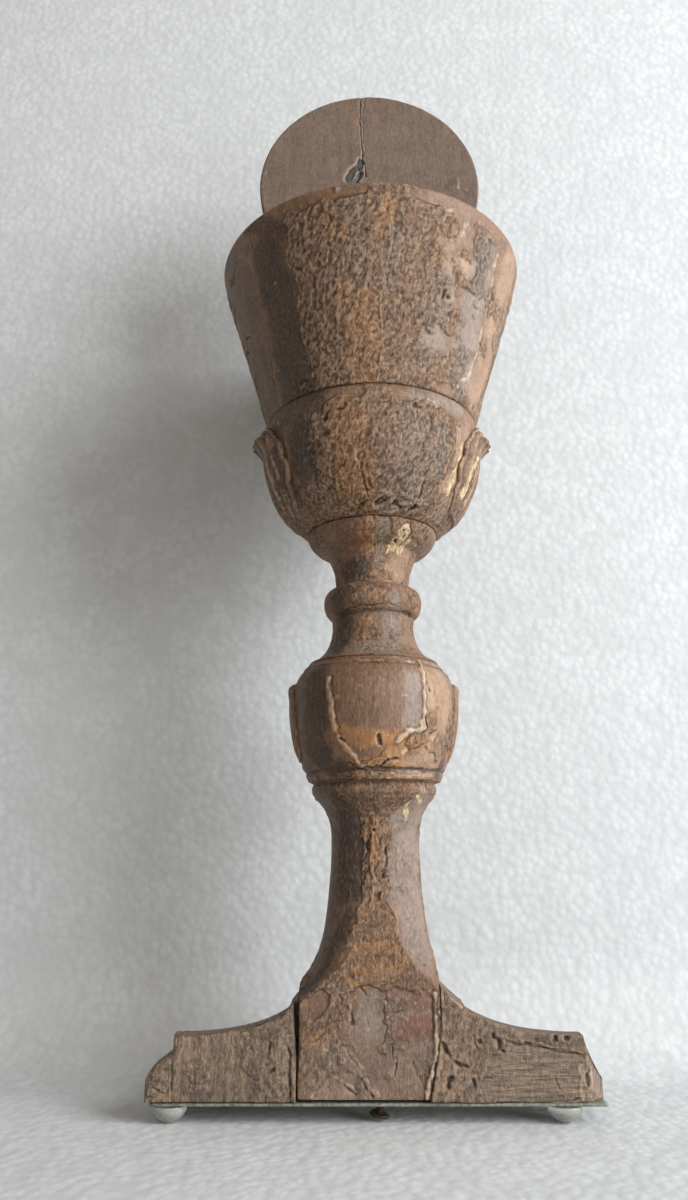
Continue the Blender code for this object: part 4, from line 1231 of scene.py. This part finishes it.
def make_nail():
    """A forged nail: a hammered head, askew, on a round shank that tapers to its point."""
    low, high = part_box("sole_nail")
    outline = outline_of(
        (line((0.2, -0.5), (2.2, -0.5), spacing=0.3), 1.0),
        (bulge((2.5, 0.0), (0.6, 0.5), -70, 70, 0.2), 1.0),
        (line((2.2, 0.5), (1.15, 0.6), (1.1, 4.0), (1.0, 22.0), (0.5, 24.0), spacing=0.5), 0.3),
    )
    surface = turned(outline, 36, 28)
    points = surface.points
    lean = smooth_step(1.4 - points[..., 2], 0.0, 1.0)
    points += surface.normals * (0.32 * surface.relief * noise(points, 1.6, 951))[..., None]
    points[..., 2] -= lean * math.tan(math.radians(11)) * points[..., 0]
    stand_at(points, low, high)
    points[..., 2] += 1.8 - WOOD_BASE
    return finished(loft("forged_nail", surface), "chalice", "old_iron", "sole_nail")


def finish_dowels():
    for side in SIDES:
        for row in ("front", "rear"):
            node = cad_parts[f"dowel_{side}_{row}"]
            node.data.materials.clear()
            node.data.materials.append(MATERIALS["peg_wood"])


# ---- host ----
def make_host():
    """The disc: a lathe laid on its side, with a crack down its upper half that ends in a chip."""
    rounded = 0.8
    outline = outline_of(
        (line((0.4, -HOST_HALF), (HOST_RADIUS - rounded, -HOST_HALF), spacing=0.55), 1.0),
        (bulge((HOST_RADIUS - rounded, -HOST_HALF + rounded), (rounded, rounded), -80, 0, 0.25), 0.8),
        (line((HOST_RADIUS, -HOST_HALF + rounded), (HOST_RADIUS, HOST_HALF - rounded), spacing=0.5), 0.8),
        (bulge((HOST_RADIUS - rounded, HOST_HALF - rounded), (rounded, rounded), 0, 80, 0.25), 0.8),
        (line((HOST_RADIUS - rounded, HOST_HALF), (0.4, HOST_HALF), spacing=0.9), 0.8),
    )
    surface = turned(outline, 300, 210)
    for grid in (surface.points, surface.normals):
        x, y, z = (grid[..., axis].copy() for axis in range(3))
        grid[..., 1], grid[..., 2] = z, -y
    surface.points[..., 2] += HOST_CENTRE
    front = surface.points[..., 1] < -HOST_HALF + 1.2
    surface.across = np.where(front, surface.points[..., 0], OFF_FACE)
    surface.up = surface.points[..., 2]
    surface.scale = np.ones(front.shape)
    marks = {
        "crack": [
            (0.20, 1.0, (-3.6, 392), (-3.5, 378), (-3.3, 368), (-2.6, 360), (-2.9, 356)),
            (0.12, 0.8, (-2.2, 391), (-2.4, 380), (-2.4, 366)),
            (0.25, 0.9, (-4.8, 354), (-3.8, 350), (-5.0, 346)), (0.20, 0.9, (-2.0, 356), (-1.2, 349)),
        ],
        "pale": [
            (0.20, 0.9, (-3.0, 388), (-3.0, 372), (-2.2, 362)), (0.35, 0.8, (37.5, 348), (38, 343)),
            (0.45, 0.7, (40, 341), (42, 344)), (0.30, 0.7, (33, 346)), (0.25, 0.7, (-44, 345), (-43.6, 352)),
        ],
        "chip": [
            (1.6, 1.0, (-8.4, 347), (-7.6, 351.5), (-4.6, 353.5), (-3.4, 357)),
            (1.4, 1.0, (-5.6, 346), (-3.6, 350)),
        ],
        "ochre": [(2.0, 0.35, (-8, 385), (-6, 376)), (1.5, 0.35, (2, 386), (3, 378))],
        "grime_and_shade": [(2.2, 0.6, (33, 344), (38, 350))],
        "dark": [(0.5, 0.8, (5, 391.4), (9, 390.4))],
    }
    wear(surface, marks, seed=1000, crust=-0.75, rough=0.3, grain=(2.2, 3.0, 18.0), fleck=0.35)
    piece = loft("host_wafer_disc", surface)
    return finished(piece, "host", "host_wood", "host_disc")


def make_peg():
    low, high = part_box("host_peg")
    radius = (high.x - low.x) / 2 / MM
    bottom, top = low.z / MM - WOOD_BASE, high.z / MM - WOOD_BASE
    shoulder = HOST_CENTRE - HOST_RADIUS - 0.3
    outline = outline_of(
        (line((0.3, bottom), (radius - 0.6, bottom), (radius, bottom + 0.6), spacing=1.0), 0.0),
        (line((radius, bottom + 0.6), (radius, shoulder - 0.4), spacing=0.8), 1.0),
        (line((radius - 0.4, shoulder), (1.5, shoulder), (1.5, top), (0.3, top), spacing=1.0), 0.0),
    )
    surface = turned(outline, 40, 32)
    whittled = noise(surface.points, (1.6, 1.6, 22.0), 1051)
    surface.points += surface.normals * (surface.relief * (0.12 * whittled - 0.12))[..., None]
    return finished(loft("host_peg_turned", surface), "host", "peg_wood", "host_peg")


# ---- stage ----
BACKDROP_DEPTH = 0.066  # just behind the cup
SWEEP = 0.040


def stage_material():
    """Matt pale foam board that is seen only from its own side, so that it never hides the object."""
    n = Nodes("pale_foam")
    place = n.add("ShaderNodeMapping", {"Vector": n.place, "Scale": (1 / MM, 1 / MM, 1 / MM)}).outputs[0]
    inputs = {"Vector": place, "Scale": 0.30, "Smoothness": 0.5}
    beads = n.add("ShaderNodeTexVoronoi", inputs, feature="SMOOTH_F1")
    dents = n.noise(2.6, 3.0, rough=0.6)
    mottle = n.noise(14.0, 3.0)
    colour = n.mix(n.spread(mottle, 0.35, 0.65), (0.53, 0.55, 0.56), (0.585, 0.61, 0.62))
    n.give("Base Color", n.mix(n.spread(beads.outputs["Distance"], 0.35, 0.75), colour, (0.52, 0.54, 0.55)))
    n.give("Roughness", 0.85)
    n.give("Specular IOR Level", 0.2)
    normal = n.bump(beads.outputs["Distance"], -0.26)
    n.give("Normal", n.bump(dents, 0.08, normal))
    clear = n.add("ShaderNodeBsdfTransparent").outputs[0]
    behind = n.add("ShaderNodeNewGeometry").outputs["Backfacing"]
    blend = n.add("ShaderNodeMixShader", {0: behind, 1: n.shader.outputs[0], 2: clear}).outputs[0]
    n.put(n.tree.nodes["Material Output"].inputs["Surface"], blend)
    return n.material


def make_stage():
    """A floor that sweeps up into a backdrop close behind the chalice."""
    profile = [(-1.6, 0.0), (BACKDROP_DEPTH - SWEEP, 0.0)]
    for step in range(1, 13):
        angle = math.radians(90 * step / 12)
        profile.append((BACKDROP_DEPTH - SWEEP * (1 - math.sin(angle)), SWEEP * (1 - math.cos(angle))))
    profile.append((BACKDROP_DEPTH, 1.3))
    corners = [(x, y, z) for y, z in profile for x in (-1.4, 1.4)]
    faces = [(2 * i, 2 * i + 1, 2 * i + 3, 2 * i + 2) for i in range(len(profile) - 1)]
    mesh = bpy.data.meshes.new("stage_ground")
    mesh.from_pydata(corners, [], faces)
    mesh.shade_smooth()
    mesh.materials.append(stage_material())
    placed("stage_ground", mesh)


def area_light(name, place, target, size, power, colour):
    lamp = bpy.data.lights.new(name, "AREA")
    lamp.shape = "RECTANGLE"
    lamp.size, lamp.size_y = size
    lamp.energy = power
    lamp.color = colour
    light = placed(name, lamp)
    light.location = place
    light.rotation_euler = (Vector(target) - Vector(place)).to_track_quat("-Z", "Y").to_euler()


def make_lights():
    area_light("window_key", (1.20, -0.70, 0.66), (0.0, 0.0, 0.20), (0.85, 1.0), 36.5, (0.97, 0.985, 1.0))
    area_light("board_bounce", (0.46, -0.32, 0.03), (0.0, 0.0, 0.22), (0.5, 0.3), 1.3, (1.0, 0.985, 0.96))
    area_light("room_fill", (-0.70, -0.55, 0.20), (0.0, 0.0, 0.12), (0.5, 0.5), 0.5, (1.0, 0.90, 0.80))
    world = bpy.data.worlds.new("soft_room")
    world.use_nodes = True
    background = world.node_tree.nodes["Background"]
    background.inputs["Color"].default_value = (1.0, 0.85, 0.71, 1.0)
    background.inputs["Strength"].default_value = 0.32
    bpy.context.scene.world = world


CAMERA_PLACE = (-0.0107, -0.3129)
CAMERA_HEIGHT = 79.75  # above the underside of the wood
CAMERA_TILT = 15.02  # degrees upwards
LENS = 26.09
SENSOR = 36.0


def make_camera():
    """Close to the chalice at the height of its waist, tilted up a little."""
    lens = bpy.data.cameras.new("camera")
    lens.sensor_width = SENSOR
    lens.lens = LENS
    lens.clip_start = 0.01
    camera = placed("camera", lens)
    camera.location = (*CAMERA_PLACE, (CAMERA_HEIGHT + WOOD_BASE) * MM)
    camera.rotation_euler = (math.radians(90 + CAMERA_TILT), 0.0, 0.0)
    bpy.context.scene.camera = camera


def main():
    make_cup()
    make_calyx()
    make_leaves()
    make_neck()
    make_knop()
    make_stem()
    make_left_wing()
    make_right_wing()
    make_wing_backs()
    make_sole()
    make_bumpers()
    make_nail()
    finish_dowels()
    make_host()
    make_peg()
    make_stage()
    make_lights()
    make_camera()
    bpy.context.scene.view_settings.view_transform = "Standard"


main()
